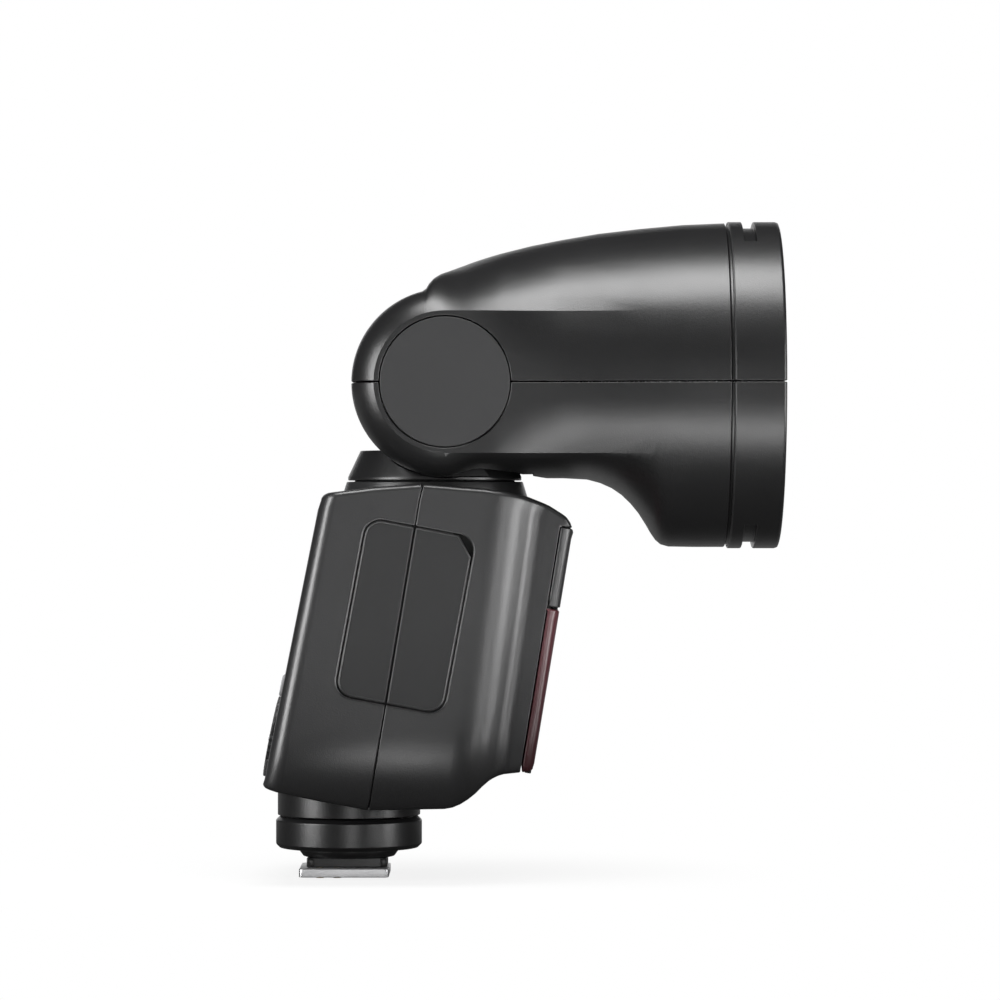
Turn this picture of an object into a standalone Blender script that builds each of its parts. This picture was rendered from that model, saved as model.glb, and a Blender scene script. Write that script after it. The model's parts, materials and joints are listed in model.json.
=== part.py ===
"""Round-head speedlight flash, one object per piece, in metres with +Z up.

The origin is the underside of the shoe plate, under the axis of the lock ring.
+X is the way the head points, +Y is the photographer's left.
"""
import bpy
import bmesh
from math import acos, asin, cos, pi, radians, sin, sqrt
from mathutils import Matrix, Vector

MM = 0.001
ZERO = 0.0
HALF = 0.5

# fits
GAP = 0.30 * MM  # between pieces that are fixed to each other
RUN = 0.05 * MM  # radial play of a shaft in its hole
SEAM = 0.15 * MM  # half of the line between two shells
PASS = 5.0 * MM  # how far a cutter runs past the faces it cuts
FAR = 100.0 * MM  # past the whole body

# roundness
BIG = 48
MID = 24
SMALL = 12

# tilt pivot and head axis
PIVOT_X = 22.75 * MM
PIVOT_Z = 114.0 * MM
PAN_X = 20.0 * MM

# head
HEAD_SIDE = 33.0 * MM
FACET_R = 16.1 * MM
CHEEK_R = 21.4 * MM
EDGE_TILT = radians(29.0)  # of the cheeks' round rim where it leaves the flat side
RING_R = 38.0 * MM
RING_BACK = 88.3 * MM
RING_FRONT = 99.8 * MM
RING_EDGE = 0.8 * MM
GROOVE_DEEP = 1.0 * MM
GROOVE_R = RING_R - GROOVE_DEEP
GROOVE_BACK = 87.4 * MM
NOTCH_BACK = 91.2 * MM
NOTCH_FRONT = 94.0 * MM
NOTCH_DEPTH = 1.5 * MM
NOTCH_HALF = radians(31.0)
RING_WALL = 3.0 * MM
BORE_R = RING_R - RING_WALL
BORE_BACK = 75.0 * MM
BARREL_STEP = 0.3 * MM
BARREL_R = RING_R - BARREL_STEP
ROUND_FROM = 42.0 * MM  # the sides widen to the barrel
ROUND_TO = 86.0 * MM
BOW_FROM = 26.0 * MM  # the flat sides become round
BOW_TO = 52.0 * MM
DOME_FADE = 9.6 * MM
WAIST_FADE = 8.3 * MM
WAIST_CENTRE = 14.9 * MM
DOME_START = 18.4 * MM
DOME_STEP = 0.1 * MM  # of the dome's rear edge over the cheeks
# height of the dome above the head axis, from its rear edge forwards
DOME_LINE = (
    (18.4, 21.5), (19.0, 22.7), (20.1, 24.1), (21.6, 25.3), (22.75, 25.97), (24.0, 26.6), (25.4, 27.2),
    (27.0, 27.8), (28.8, 28.5), (30.7, 29.15), (33.2, 29.95), (35.8, 30.7), (42.5, 32.4), (49.5, 33.8),
    (58.0, 35.25), (67.8, 36.4), (77.6, 37.3), (87.3, 37.7),
)
# depth of the underside below the head axis
UNDER_LINE = (
    (22.75, 21.4), (24.2, 21.46), (25.8, 21.53), (27.4, 21.59), (29.0, 21.65), (30.7, 21.67),
    (33.0, 21.69), (36.0, 21.7), (43.0, 21.7), (50.0, 21.7), (55.5, 22.0), (58.5, 22.8),
    (61.2, 24.0), (63.6, 25.65), (65.7, 27.7), (67.5, 29.9), (69.2, 32.6), (70.4, 34.7), (71.4, 36.1),
    (72.6, 37.1), (74.4, 37.6), (80.0, 37.7), (87.3, 37.7),
)
RIM_ROWS = (0.992, 0.94, 0.84, 0.68, 0.47, 0.25, 0.08)  # sections of the rim behind the flat side
FACET_ROWS = (1.0, 0.986, 0.96, 0.917, 0.857, 0.778, 0.678, 0.571, 0.452, 0.332)  # and across it
ARC_STEPS = 11
RIM_STEPS = 8  # of the arc's steps on the rim; the rest cross the middle
FACET_STEPS = 4
NOTCH_STEPS = 12
CAVITY_BACK = 46.0 * MM
CAVITY_MID = 60.0 * MM
CAVITY_SIDE = 29.0 * MM
CAVITY_STEP = 5.9 * MM
CAVITY_TOP = BORE_R - CAVITY_STEP
CAVITY_LOW = 19.0 * MM
CAVITY_GROW = 1.0 * MM  # wider, and three times taller, from its back to its middle
BORE_LEAD = 2.0 * MM
SLOT_SIDE = 15.85 * MM
SLOT_R = 21.05 * MM
SLOT_FRONT = 20.2 * MM
SLOT_REAR = 4.65 * MM
RELIEF_R = 26.0 * MM
RELIEF_TOP = 95.0 * MM

# hinge caps and axle
CAP_R = 14.7 * MM
CAP_T = 1.4 * MM
AXLE_R = 3.0 * MM
AXLE_END = 30.9 * MM

# turret and its shaft
COLLAR_TOP = 91.5 * MM
COLLAR_TOP_R = 20.5 * MM
COLLAR_LOW = 88.0 * MM
COLLAR_LOW_R = 21.6 * MM
COLLAR_BASE = 86.5 * MM
HUB_R = 18.6 * MM
HUB_H = 0.6 * MM
TURRET_R = 20.2 * MM
TURRET_RIM = 92.6 * MM
TURRET_TOP = 98.7 * MM
TURRET_TOP_R = 17.3 * MM
KNUCKLE_R = 20.6 * MM
KNUCKLE_SIDE = 15.5 * MM
SADDLE_R = 21.7 * MM
SHAFT_R = 8.0 * MM
SHAFT_LOW = 79.0 * MM
SHAFT_BORE = 5.0 * MM
SHAFT_BORE_TOP = 95.0 * MM
RETAINER_R = 11.5 * MM
RETAINER_LOW = 80.2 * MM
RETAINER_T = 2.0 * MM

# body
REAR_TOP = (-5.5, 88.3)
REAR_LOW = (-18.7, 21.9)
FRONT_TOP = (51.9, 81.9)
FRONT_LOW = (42.75, 25.5)
SEAM_FROM_REAR_LOW = 24.0 * MM
SEAM_FROM_REAR_TOP = 23.1 * MM
BODY_SIDE = 31.5 * MM
BODY_WALL = 3.0 * MM
REAR_CORNER = 4.2 * MM
SHOULDER = 20.2 * MM  # start of the shoulder, behind the front edge
SHOULDER_R = 15.0 * MM
VALLEY_R = 6.0 * MM
SHOULDER_TURN = radians(45.0)
NOSE_CORNER = 2.4 * MM
TOP_EDGE = 1.3 * MM
LOW_EDGE = 0.8 * MM
BOWL_TOP = 34.0 * MM
BOWL_HEIGHT = 19.5 * MM
BOWL_IN = 11.0 * MM
TOP_LINE = (
    (-7.0, 88.0), (-5.5, 88.3), (-3.6, 88.9), (0.0, 89.35), (5.0, 89.95), (10.0, 90.55), (16.6, 91.0),
    (23.0, 90.8), (30.0, 90.1), (36.0, 89.2), (41.5, 88.0), (46.0, 86.2), (48.6, 84.7),
    (50.3, 83.4), (51.3, 82.2), (51.8, 81.3), (52.0, 80.9),
)
LOW_LINE = (
    (-18.8, 21.9), (-15.5, 20.9), (4.0, 16.6), (21.0, 16.7), (24.2, 17.2), (26.5, 18.2), (29.0, 19.9),
    (31.2, 22.1), (33.0, 23.6), (35.4, 24.7), (42.8, 25.5),
)
CORNER_STEPS = 5
SHOULDER_STEPS = 6
VALLEY_STEPS = 4
EDGE_STEPS = 3
ROOM_STEPS = 3
ROW_STEPS = (0.03, 0.07, 0.12, 0.18, 0.25, 0.60, 0.95)
ROOM_LOW = 27.0 * MM
ROOM_TOP = 83.0 * MM
ROOM_NOSE = 6.2 * MM  # wall at the front of the nose

# nose pieces
NOSE_SKIN = 2.6 * MM
COVER_TOP = 80.6 * MM
COVER_LOW = 62.7 * MM
WINDOW_LOW = 24.6 * MM
LAMP_R = 4.0 * MM
LAMP_T = 3.2 * MM
LAMP_UP = 46.0 * MM

# side panel and battery
PANEL_X = 13.7 * MM
PANEL_Z = 61.0 * MM
PANEL_LEAN = radians(10.5)
PANEL_W = 25.4 * MM
PANEL_H = 41.2 * MM
PANEL_CORNER = 4.0 * MM
PANEL_CUT_W = 4.4 * MM
PANEL_CUT_H = 5.4 * MM
PANEL_DEPTH = 1.6 * MM
PANEL_LINE = 0.45 * MM
BATTERY_LID = 2.9 * MM
BATTERY_W = 22.0 * MM
BATTERY_LOW = -19.0 * MM
BATTERY_TOP = 10.3 * MM
BATTERY_END = -18.4 * MM
BAY_PLAY = 0.35 * MM
BAY_WALL = 1.2 * MM
TERMINAL_W = 12.0 * MM
TERMINAL_H = 6.0 * MM
TERMINAL_T = 0.7 * MM
LATCH_TRAVEL = 1.0 * MM
LATCH_DEPTH = 2.2 * MM
LATCH_SIZE = 2.1
LATCH_WEB = 0.8 * MM

# rear panel, measured up the leaning face from its reference height
REAR_REF = 55.0 * MM
SCREEN_W = 46.0 * MM
SCREEN_H = 28.0 * MM
SCREEN_UP = 14.5 * MM
SCREEN_R = 2.5 * MM
SCREEN_T = 1.2 * MM
SCREEN_EDGE = 2.0 * MM
MODULE_T = 2.4 * MM
KEY_DEPTH = 2.2 * MM
KEY_PROUD = 0.7 * MM
KEY_BELOW = 1.1 * MM
KEY_W = 9.6 * MM
KEY_H = 4.8 * MM
KEY_R = 1.2 * MM
KEY_UP = -10.4 * MM
KEY_PITCH = 12.2 * MM
KEY_COUNT = 4
SIDE_KEY_R = 3.2 * MM
SIDE_KEY_U = 19.5 * MM
SIDE_KEY_HIGH = -19.0 * MM
SIDE_KEY_LOW = -28.0 * MM
SWITCH_W = 4.2 * MM
SWITCH_H = 3.4 * MM
SWITCH_TRAVEL = 3.0 * MM
DIAL_R = 9.5 * MM
DIAL_UP = -23.5 * MM
DIAL_PROUD = 1.5 * MM
DIAL_TEETH = 36
DIAL_TOOTH = 0.35 * MM
DIAL_BORE = 4.9 * MM
SET_R = 4.55 * MM
SET_PROUD = 1.2 * MM
BOARD_T = 1.6 * MM
KEYBOARD_W = 50.0 * MM
KEYBOARD_H = 20.0 * MM
KEYBOARD_UP = -14.6 * MM
MAIN_W = 30.0 * MM
MAIN_H = 36.0 * MM
CAP_CAN_R = 6.8 * MM
CAP_CAN_H = 40.0 * MM
CAP_CAN_UP = 31.0 * MM

# foot
COLUMN_R = 16.6 * MM
COLUMN_TOP = 22.0 * MM
COLUMN_LOW = 14.0 * MM
STEM_R = 11.7 * MM
STEM_LOW_R = 10.6 * MM
STEM_STEP = 5.9 * MM
STEM_LOW = 4.4 * MM
RINGNUT_R = 17.0 * MM
RINGNUT_LOW = 6.4 * MM
RINGNUT_EDGE = 0.9 * MM
PLATE_REAR = -11.3 * MM
PLATE_FRONT = 9.5 * MM
PLATE_SIDE = 9.3 * MM
PLATE_T = 2.0 * MM
PLATE_CORNER = 1.0 * MM
BLOCK_REAR = -9.6 * MM
BLOCK_FRONT = 9.0 * MM
BLOCK_SIDE = 6.1 * MM
PIN_R = 1.3 * MM
PIN_X = 7.0 * MM
PIN_LOW = 0.4 * MM
PIN_TOP = 8.0 * MM
CONTACT_R = 0.9 * MM
CONTACT_PROUD = 0.5 * MM
CONTACT_TOP = 3.4 * MM
CONTACT_PLAY = 0.2 * MM
CONTACTS = ((2.6, 0.0), (-2.6, 3.6), (-2.6, -3.6), (-6.6, 3.6), (-6.6, -3.6))

# inside the head
LENSRING_R = BORE_R - GAP
LENSRING_BACK = 91.4 * MM
LENSRING_FRONT = 99.4 * MM
LENSRING_WALL = 1.7 * MM
LENS_SEAT = LENSRING_R - LENSRING_WALL
LENS_LIP = 1.4 * MM
LENS_R = LENS_SEAT - GAP
LENS_BACK = 93.2 * MM
LENS_T = 2.6 * MM
LENS_DOME = 0.6 * MM
PLATE_WIDE = CAVITY_SIDE - GAP
FRAME_BACK = CAVITY_BACK + GAP
FRAME_T = 1.8 * MM
ROD_R = 1.25 * MM
ROD_Y = 25.4 * MM
ROD_FRONT = LENS_BACK - GAP
CARRIAGE_BACK = 50.0 * MM
CARRIAGE_T = 3.0 * MM
CARRIAGE_LOW = 16.0 * MM
CARRIAGE_TOP = 16.0 * MM
TAB_SIDE = 4.0 * MM
MOTOR_SEAT = BORE_R - 2 * GAP
SCREW_DROP = 6.9 * MM
SCREW_Z = MOTOR_SEAT - SCREW_DROP
TAB_OVER = 1.7 * MM
TAB_TOP = SCREW_Z + TAB_OVER
SCREW_R = 1.2 * MM
SCREW_BACK = 48.6 * MM
MOTOR_R = 4.2 * MM
MOTOR_BACK = 79.0 * MM
MOTOR_FRONT = 91.0 * MM
MOTOR_SEAT_SIDE = 3.0 * MM
BOWL_R = 22.0 * MM
BOWL_NECK = 6.4 * MM
BOWL_DEPTH = 21.0 * MM
BOWL_WALL = 1.0 * MM
BOWL_STEPS = 5
TUBE_R = 5.2 * MM
TUBE_L = 16.0 * MM
LED_SIDE = 5.0 * MM
LED_EDGE = 0.7 * MM
LED_H = 8.5 * MM
LED_LOW = LENS_SEAT - LED_EDGE
LED_TOP = LED_LOW - LED_H
LED_BACK = 90.8 * MM
LED_T = 1.8 * MM

# looks: colour, roughness, metallic
BLACK = ((0.040, 0.040, 0.042), 0.50, 0.0)
DARK = ((0.055, 0.055, 0.058), 0.60, 0.0)
INSIDE = ((0.080, 0.080, 0.085), 0.60, 0.0)
STEEL = ((0.62, 0.62, 0.63), 0.30, 1.0)
BRASS = ((0.70, 0.55, 0.28), 0.30, 1.0)
RED = ((0.13, 0.015, 0.02), 0.15, 0.0)
CLEAR = ((0.85, 0.87, 0.88), 0.08, 0.0)
SMOKE = ((0.03, 0.035, 0.04), 0.10, 0.0)
GREY = ((0.45, 0.45, 0.46), 0.60, 0.0)
GREEN = ((0.03, 0.16, 0.07), 0.50, 0.0)
MIRROR = ((0.86, 0.86, 0.87), 0.10, 1.0)

for old in list(bpy.data.objects):
    bpy.data.objects.remove(old)


def frame(origin, u, v):
    """A frame with axes u and v, and w square to both."""
    u = Vector(u).normalized()
    v = Vector(v).normalized()
    turn = Matrix((u, v, u.cross(v))).transposed().to_4x4()
    turn.translation = origin
    return turn


def made(bm, name, look=None):
    """Turn a bmesh into an object with its own material."""
    bmesh.ops.recalc_face_normals(bm, faces=bm.faces)
    mesh = bpy.data.meshes.new(name)
    bm.to_mesh(mesh)
    bm.free()
    obj = bpy.data.objects.new(name, mesh)
    bpy.context.scene.collection.objects.link(obj)
    if look:
        colour, rough, metal = look
        paint = bpy.data.materials.new(name)
        paint.use_nodes = True
        shader = paint.node_tree.nodes["Principled BSDF"]
        shader.inputs["Base Color"].default_value = (*colour, 1.0)
        shader.inputs["Roughness"].default_value = rough
        shader.inputs["Metallic"].default_value = metal
        mesh.materials.append(paint)
    return obj


def combine(target, tool, operation):
    """Cut tool from target, or join it on, and take the tool away."""
    step = target.modifiers.new(operation.lower(), "BOOLEAN")
    step.operation = operation
    step.solver = "EXACT"
    step.object = tool
    tool.hide_render = True
    tool.display_type = "WIRE"
    bpy.context.view_layer.objects.active = target
    bpy.ops.object.modifier_apply(modifier=step.name)
    bpy.data.objects.remove(tool)


def cut(target, *tools):
    for tool in tools:
        combine(target, tool, "DIFFERENCE")


def join(target, *tools):
    for tool in tools:
        combine(target, tool, "UNION")


def prism(name, outline, low, high, place, look=None):
    """An outline in the frame's u and v, from low to high along w."""
    bm = bmesh.new()
    rings = [[bm.verts.new(place @ Vector((u, v, w))) for u, v in outline] for w in (low, high)]
    for ring in rings:
        bm.faces.new(ring)
    count = len(outline)
    for i in range(count):
        j = (i + 1) % count
        bm.faces.new((rings[0][i], rings[0][j], rings[1][j], rings[1][i]))
    return made(bm, name, look)


def lathe(name, profile, place, look=None, sides=MID):
    """A profile of (radius, w) turned round the frame's w; a ring if it has no point on the axis."""
    bm = bmesh.new()
    rings = []
    for radius, w in profile:
        if radius == ZERO:
            rings.append([bm.verts.new(place @ Vector((ZERO, ZERO, w)))])
            continue
        turn = [2 * pi * k / sides for k in range(sides)]
        rings.append([bm.verts.new(place @ Vector((radius * cos(t), radius * sin(t), w))) for t in turn])
    pairs = list(zip(rings, rings[1:]))
    if all(radius > ZERO for radius, w in profile):
        pairs.append((rings[-1], rings[0]))
    for one, two in pairs:
        for k in range(sides):
            m = (k + 1) % sides
            corners = [one[k % len(one)], one[m % len(one)], two[m % len(two)], two[k % len(two)]]
            face = list(dict.fromkeys(corners))
            bm.faces.new(face)
    return made(bm, name, look)


def rod(name, radius, low, high, place, look=None, sides=MID):
    return lathe(name, ((ZERO, low), (radius, low), (radius, high), (ZERO, high)), place, look, sides)


def tube(name, outer, inner, low, high, place, look=None, sides=MID):
    return lathe(name, ((outer, low), (outer, high), (inner, high), (inner, low)), place, look, sides)


def rectangle(u0, u1, v0, v1):
    return [(u0, v0), (u1, v0), (u1, v1), (u0, v1)]


def rounded(width, height, radius, u=ZERO, v=ZERO, steps=4):
    """A rectangle with round corners, centred on u, v."""
    points = []
    spots = ((1, 1), (-1, 1), (-1, -1), (1, -1))
    for quarter, (su, sv) in enumerate(spots):
        for k in range(steps + 1):
            turn = pi / 2 * (quarter + k / steps)
            points.append((
                u + su * (width / 2 - radius) + radius * cos(turn),
                v + sv * (height / 2 - radius) + radius * sin(turn),
            ))
    return points


def clipped(outline, keep):
    """The part of a convex outline where keep(u, v) is not negative."""
    points = []
    for here, after in zip(outline, outline[1:] + outline[:1]):
        a = keep(*here)
        b = keep(*after)
        if a >= ZERO:
            points.append(here)
        if a * b < ZERO:
            f = a / (a - b)
            points.append(tuple(p + f * (q - p) for p, q in zip(here, after)))
    return points


def along(line, x):
    """The height of a line of (x, z) points, in millimetres, at x in metres."""
    x = x / MM
    if x <= line[0][0]:
        return line[0][1] * MM
    for (x0, z0), (x1, z1) in zip(line, line[1:]):
        if x <= x1:
            return (z0 + (z1 - z0) * (x - x0) / (x1 - x0)) * MM
    return line[-1][1] * MM


def drawn(line, start):
    """A measured line, fitted between its first height and the barrel behind the ring."""
    first, last = line[0][1], line[-1][1]
    rise = (BARREL_R - start) / (last - first)
    return tuple((x, (start + (z - first) * rise) / MM) for x, z in line)


DOME = drawn(DOME_LINE, CHEEK_R + DOME_STEP)
UNDER = drawn(UNDER_LINE, CHEEK_R)


def blend(low, high, x):
    t = min(1, max(0, (x - low) / (high - low)))
    return t * t * (3 - 2 * t)


AXIS_Z = frame((ZERO, ZERO, ZERO), (1, 0, 0), (0, 1, 0))
PAN = frame((PAN_X, ZERO, ZERO), (1, 0, 0), (0, 1, 0))
HEAD = frame((ZERO, ZERO, PIVOT_Z), (0, 1, 0), (0, 0, 1))
TILT = frame((PIVOT_X, ZERO, PIVOT_Z), (0, 0, 1), (1, 0, 0))


def line_frame(low, high, ref, facing):
    """A frame on a leaning face: v up the face, w out of it."""
    up = Vector((high[0] - low[0], ZERO, high[1] - low[1]))
    x = (low[0] + (ref / MM - low[1]) * up.x / up.z) * MM
    return frame((x, ZERO, ref), (0, facing, 0), up)


REAR = line_frame(REAR_LOW, REAR_TOP, REAR_REF, -1)
NOSE = line_frame(FRONT_LOW, FRONT_TOP, REAR_REF, 1)
LEAN_X = (cos(PANEL_LEAN), 0, -sin(PANEL_LEAN))
LEAN_Z = (sin(PANEL_LEAN), 0, cos(PANEL_LEAN))
SIDE_RIGHT = frame((PANEL_X, -BODY_SIDE, PANEL_Z), LEAN_X, LEAN_Z)
SIDE_LEFT = frame((PANEL_X, BODY_SIDE, PANEL_Z), [-k for k in LEAN_X], LEAN_Z)


def rim(low, high, part, start=EDGE_TILT):
    """A point of the round rim from the flat side at low to the middle at high: (y, height)."""
    arc = (high - low) / (1 - sin(EDGE_TILT))
    inner = HEAD_SIDE - arc * cos(EDGE_TILT)
    share = part * ARC_STEPS / RIM_STEPS
    if share < 1:
        turn = start + (pi / 2 - start) * share
        return inner + arc * cos(turn), high - arc * (1 - sin(turn))
    return inner * ARC_STEPS * (1 - part) / (ARC_STEPS - RIM_STEPS), high


def head_row(x, height, centre=ZERO, fade=1):
    """Half a section of the head at x: (y, distance from the seam) from the side to the middle.

    In front of the cheeks a bowed side meets an oval about centre; fade leads to it from the cheeks' rim.
    """
    back = max(ZERO, PIVOT_X - x)
    points = []
    if x < DOME_START:
        facet = sqrt(max(ZERO, FACET_R ** 2 - back ** 2))
        past = max(ZERO, back - FACET_R) / (CHEEK_R - FACET_R)
        start = asin(sin(EDGE_TILT) + past * (1 - sin(EDGE_TILT)))
        for k in range(FACET_STEPS):
            points.append((rim(FACET_R, CHEEK_R, 0, start)[0], facet * k / FACET_STEPS))
        for k in range(ARC_STEPS + 1):
            y, r = rim(FACET_R, CHEEK_R, k / ARC_STEPS, start)
            points.append((y, sqrt(max(ZERO, r * r - back * back))))
        return points
    facet = sqrt(FACET_R ** 2 - back ** 2)
    side = HEAD_SIDE + (BARREL_R - HEAD_SIDE) * blend(ROUND_FROM, ROUND_TO, x)
    bow = blend(BOW_FROM, BOW_TO, x)

    def bowed(z):
        return side - bow * (BARREL_R - sqrt(BARREL_R ** 2 - z ** 2))

    for k in range(FACET_STEPS):
        z = facet * k / FACET_STEPS
        points.append((bowed(z), z))
    first = asin((facet - centre) / (height - centre))
    for k in range(ARC_STEPS + 1):
        part = k / ARC_STEPS
        box = rim(facet, height, part)
        turn = first + (pi / 2 - first) * part
        ball = (
            bowed(facet) * max(ZERO, cos(turn)) / cos(first),
            centre + (height - centre) * sin(turn),
        )
        points.append(tuple(a + fade * (b - a) for a, b in zip(box, ball)))
    return points


def ring_row(radius):
    """The same points on the round front ring."""
    points = []
    first = asin(FACET_R / radius)
    for k in range(FACET_STEPS + ARC_STEPS + 1):
        if k < FACET_STEPS:
            turn = asin(FACET_R * k / FACET_STEPS / radius)
        else:
            turn = first + (pi / 2 - first) * (k - FACET_STEPS) / ARC_STEPS
        points.append((radius * max(ZERO, cos(turn)), radius * sin(turn)))
    return points


def head_half(name, line, side, look):
    """The upper (side 1) or lower (side -1) outer form of the head, as one closed solid."""
    rows = []
    backs = [FACET_R + (CHEEK_R - FACET_R) * share for share in RIM_ROWS]
    backs += [FACET_R * share for share in FACET_ROWS]
    for back in backs:
        x = PIVOT_X - back
        if x < DOME_START - MM / 2:
            rows.append((x, head_row(x, ZERO)))
    for ahead, height in line:
        x = ahead * MM
        tall = height * MM
        if side > 0:
            rows.append((x, head_row(x, tall, ZERO, blend(DOME_START, DOME_START + DOME_FADE, x))))
        else:
            centre = WAIST_CENTRE * (BARREL_R - tall) / (BARREL_R - CHEEK_R)
            rows.append((x, head_row(x, tall, centre, blend(PIVOT_X, PIVOT_X + WAIST_FADE, x))))
    for x, radius in (
        (GROOVE_BACK, GROOVE_R), (RING_BACK - SEAM, GROOVE_R), (RING_BACK, RING_R - SEAM),
        (RING_BACK + SEAM, RING_R), (RING_FRONT - RING_EDGE, RING_R),
        (RING_FRONT - RING_EDGE / 4, RING_R - RING_EDGE / 4), (RING_FRONT, RING_R - RING_EDGE),
    ):
        rows.append((x, ring_row(radius)))
    bm = bmesh.new()
    loops = []
    for x, half in rows:
        full = half + [(-y, z) for y, z in reversed(half[:-1])]
        loops.append([bm.verts.new((x, y, PIVOT_Z + side * max(SEAM, z))) for y, z in full])
    for one, two in zip(loops, loops[1:]):
        for k in range(len(one) - 1):
            bm.faces.new((one[k], one[k + 1], two[k + 1], two[k]))
        bm.faces.new((one[0], two[0], two[-1], one[-1]))
    bm.faces.new(loops[0])
    bm.faces.new(loops[-1])
    bmesh.ops.remove_doubles(bm, verts=bm.verts, dist=SEAM / 10)
    return made(bm, name, look)


def slot_outline():
    """The slot seen from the side: round the knuckle, open below and behind, as (z, x) from the pivot."""
    reach = CHEEK_R + PASS
    first = -acos(SLOT_FRONT / SLOT_R)
    last = acos(-SLOT_REAR / SLOT_R)
    turns = [first + (last - first) * k / MID for k in range(MID + 1)]
    points = [(SLOT_R * sin(t), SLOT_R * cos(t)) for t in turns]
    return points + [(reach, -SLOT_REAR), (reach, -reach), (-reach, -reach), (-reach, SLOT_FRONT)]


def head_cutters():
    """The room inside the head, the slot for the knuckle and the relief over the collar."""
    steps = (
        (CAVITY_BACK, CAVITY_SIDE, CAVITY_TOP, CAVITY_LOW),
        (CAVITY_MID, CAVITY_SIDE + CAVITY_GROW, CAVITY_TOP + 3 * CAVITY_GROW, CAVITY_LOW + CAVITY_GROW / 2),
        (BORE_BACK, BORE_R - BORE_LEAD / 4, BORE_R - BORE_LEAD / 4, BORE_R - BORE_LEAD),
        (BORE_BACK + BORE_LEAD, BORE_R, BORE_R, BORE_R),
        (RING_FRONT + PASS, BORE_R, BORE_R, BORE_R),
    )
    bm = bmesh.new()
    loops = []
    for x, wide, top, low in steps:
        loop = []
        for k in range(MID):
            t = 2 * pi * (k + HALF) / MID
            tall = top if sin(t) > 0 else low
            loop.append(bm.verts.new((x, wide * cos(t), PIVOT_Z + tall * sin(t))))
        loops.append(loop)
    for one, two in zip(loops, loops[1:]):
        for k in range(MID):
            m = (k + 1) % MID
            bm.faces.new((one[k], one[m], two[m], two[k]))
    bm.faces.new(loops[0])
    bm.faces.new(loops[-1])
    yield made(bm, "room")
    yield prism("slot", slot_outline(), -SLOT_SIDE, SLOT_SIDE, TILT)
    yield rod("relief", RELIEF_R, COLLAR_BASE, RELIEF_TOP, PAN, sides=BIG)
    inner = HEAD_SIDE - CAP_T - GAP
    outer = HEAD_SIDE + PASS
    yield lathe("axle_bore", (
        (ZERO, -outer), (CAP_R + GAP, -outer), (CAP_R + GAP, -inner), (AXLE_R + GAP, -inner),
        (AXLE_R + GAP, inner), (CAP_R + GAP, inner), (CAP_R + GAP, outer), (ZERO, outer),
    ), TILT, sides=BIG)
    for side in (-1, 1):
        points = []
        for radius, order in ((RING_R + PASS, 1), (RING_R - NOTCH_DEPTH, -1)):
            for k in range(NOTCH_STEPS + 1):
                t = pi / 2 * side + NOTCH_HALF * (2 * k / NOTCH_STEPS - 1) * order
                points.append((radius * cos(t), radius * sin(t)))
        yield prism("notch", points, NOTCH_BACK, NOTCH_FRONT, HEAD)


head_upper = head_half("head_upper_shell", DOME, 1, BLACK)
cut(head_upper, *head_cutters())
head_lower = head_half("head_lower_shell", UNDER, -1, BLACK)
cut(head_lower, *head_cutters())

for tag, side in (("right", -1), ("left", 1)):
    ends = sorted((side * HEAD_SIDE, side * (HEAD_SIDE - CAP_T)))
    rod(f"hinge_cap_{tag}", CAP_R, *ends, TILT, DARK, BIG)
rod("tilt_axle", AXLE_R, -AXLE_END, AXLE_END, TILT, STEEL)


def make_turret():
    under = COLLAR_TOP + GAP
    hub = under + HUB_H
    turret = lathe("turret", (
        (ZERO, SHAFT_BORE_TOP), (SHAFT_BORE, SHAFT_BORE_TOP), (SHAFT_BORE, SHAFT_LOW), (SHAFT_R, SHAFT_LOW),
        (SHAFT_R, hub), (HUB_R + GAP, hub), (HUB_R + GAP, under), (TURRET_R, under), (TURRET_R, TURRET_RIM),
        (TURRET_TOP_R, TURRET_TOP), (ZERO, TURRET_TOP),
    ), PAN, BLACK, BIG)
    for side in (-1, 1):
        low, high = sorted((side * KNUCKLE_SIDE, side * (HEAD_SIDE + PASS)))
        cut(turret, rod("saddle", SADDLE_R, low, high, TILT, sides=BIG))
        top = TURRET_TOP + PASS - PIVOT_Z
        floor = TURRET_RIM - PIVOT_Z
        cut(turret, prism("clear", rectangle(floor, top, ZERO, TURRET_R + PASS), low, high, TILT))
    join(turret, rod("knuckle", KNUCKLE_R, -KNUCKLE_SIDE, KNUCKLE_SIDE, TILT, sides=BIG))
    cut(turret, rod("axle_hole", AXLE_R + RUN, -HEAD_SIDE, HEAD_SIDE, TILT))


make_turret()
tube("pan_retainer", RETAINER_R, SHAFT_R + GAP / 2, RETAINER_LOW, RETAINER_LOW + RETAINER_T, PAN, STEEL)
lathe("body_collar", (
    (COLLAR_LOW_R, COLLAR_BASE), (COLLAR_LOW_R, COLLAR_LOW), (COLLAR_TOP_R, COLLAR_TOP),
    (HUB_R, COLLAR_TOP), (HUB_R, COLLAR_TOP + HUB_H), (SHAFT_R + RUN, COLLAR_TOP + HUB_H),
    (SHAFT_R + RUN, COLLAR_BASE),
), PAN, BLACK, BIG)


def plan_rear():
    """Half of the rear shell in plan, from the seam to the middle of the rear: (behind, y)."""
    points = [(None, BODY_SIDE), (REAR_CORNER * 3, BODY_SIDE)]
    for k in range(CORNER_STEPS + 1):
        t = pi / 2 * k / CORNER_STEPS
        points.append((REAR_CORNER * (1 - sin(t)), BODY_SIDE - REAR_CORNER * (1 - cos(t))))
    points.append((ZERO, BODY_SIDE / 2))
    points.append((ZERO, ZERO))
    return points


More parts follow.
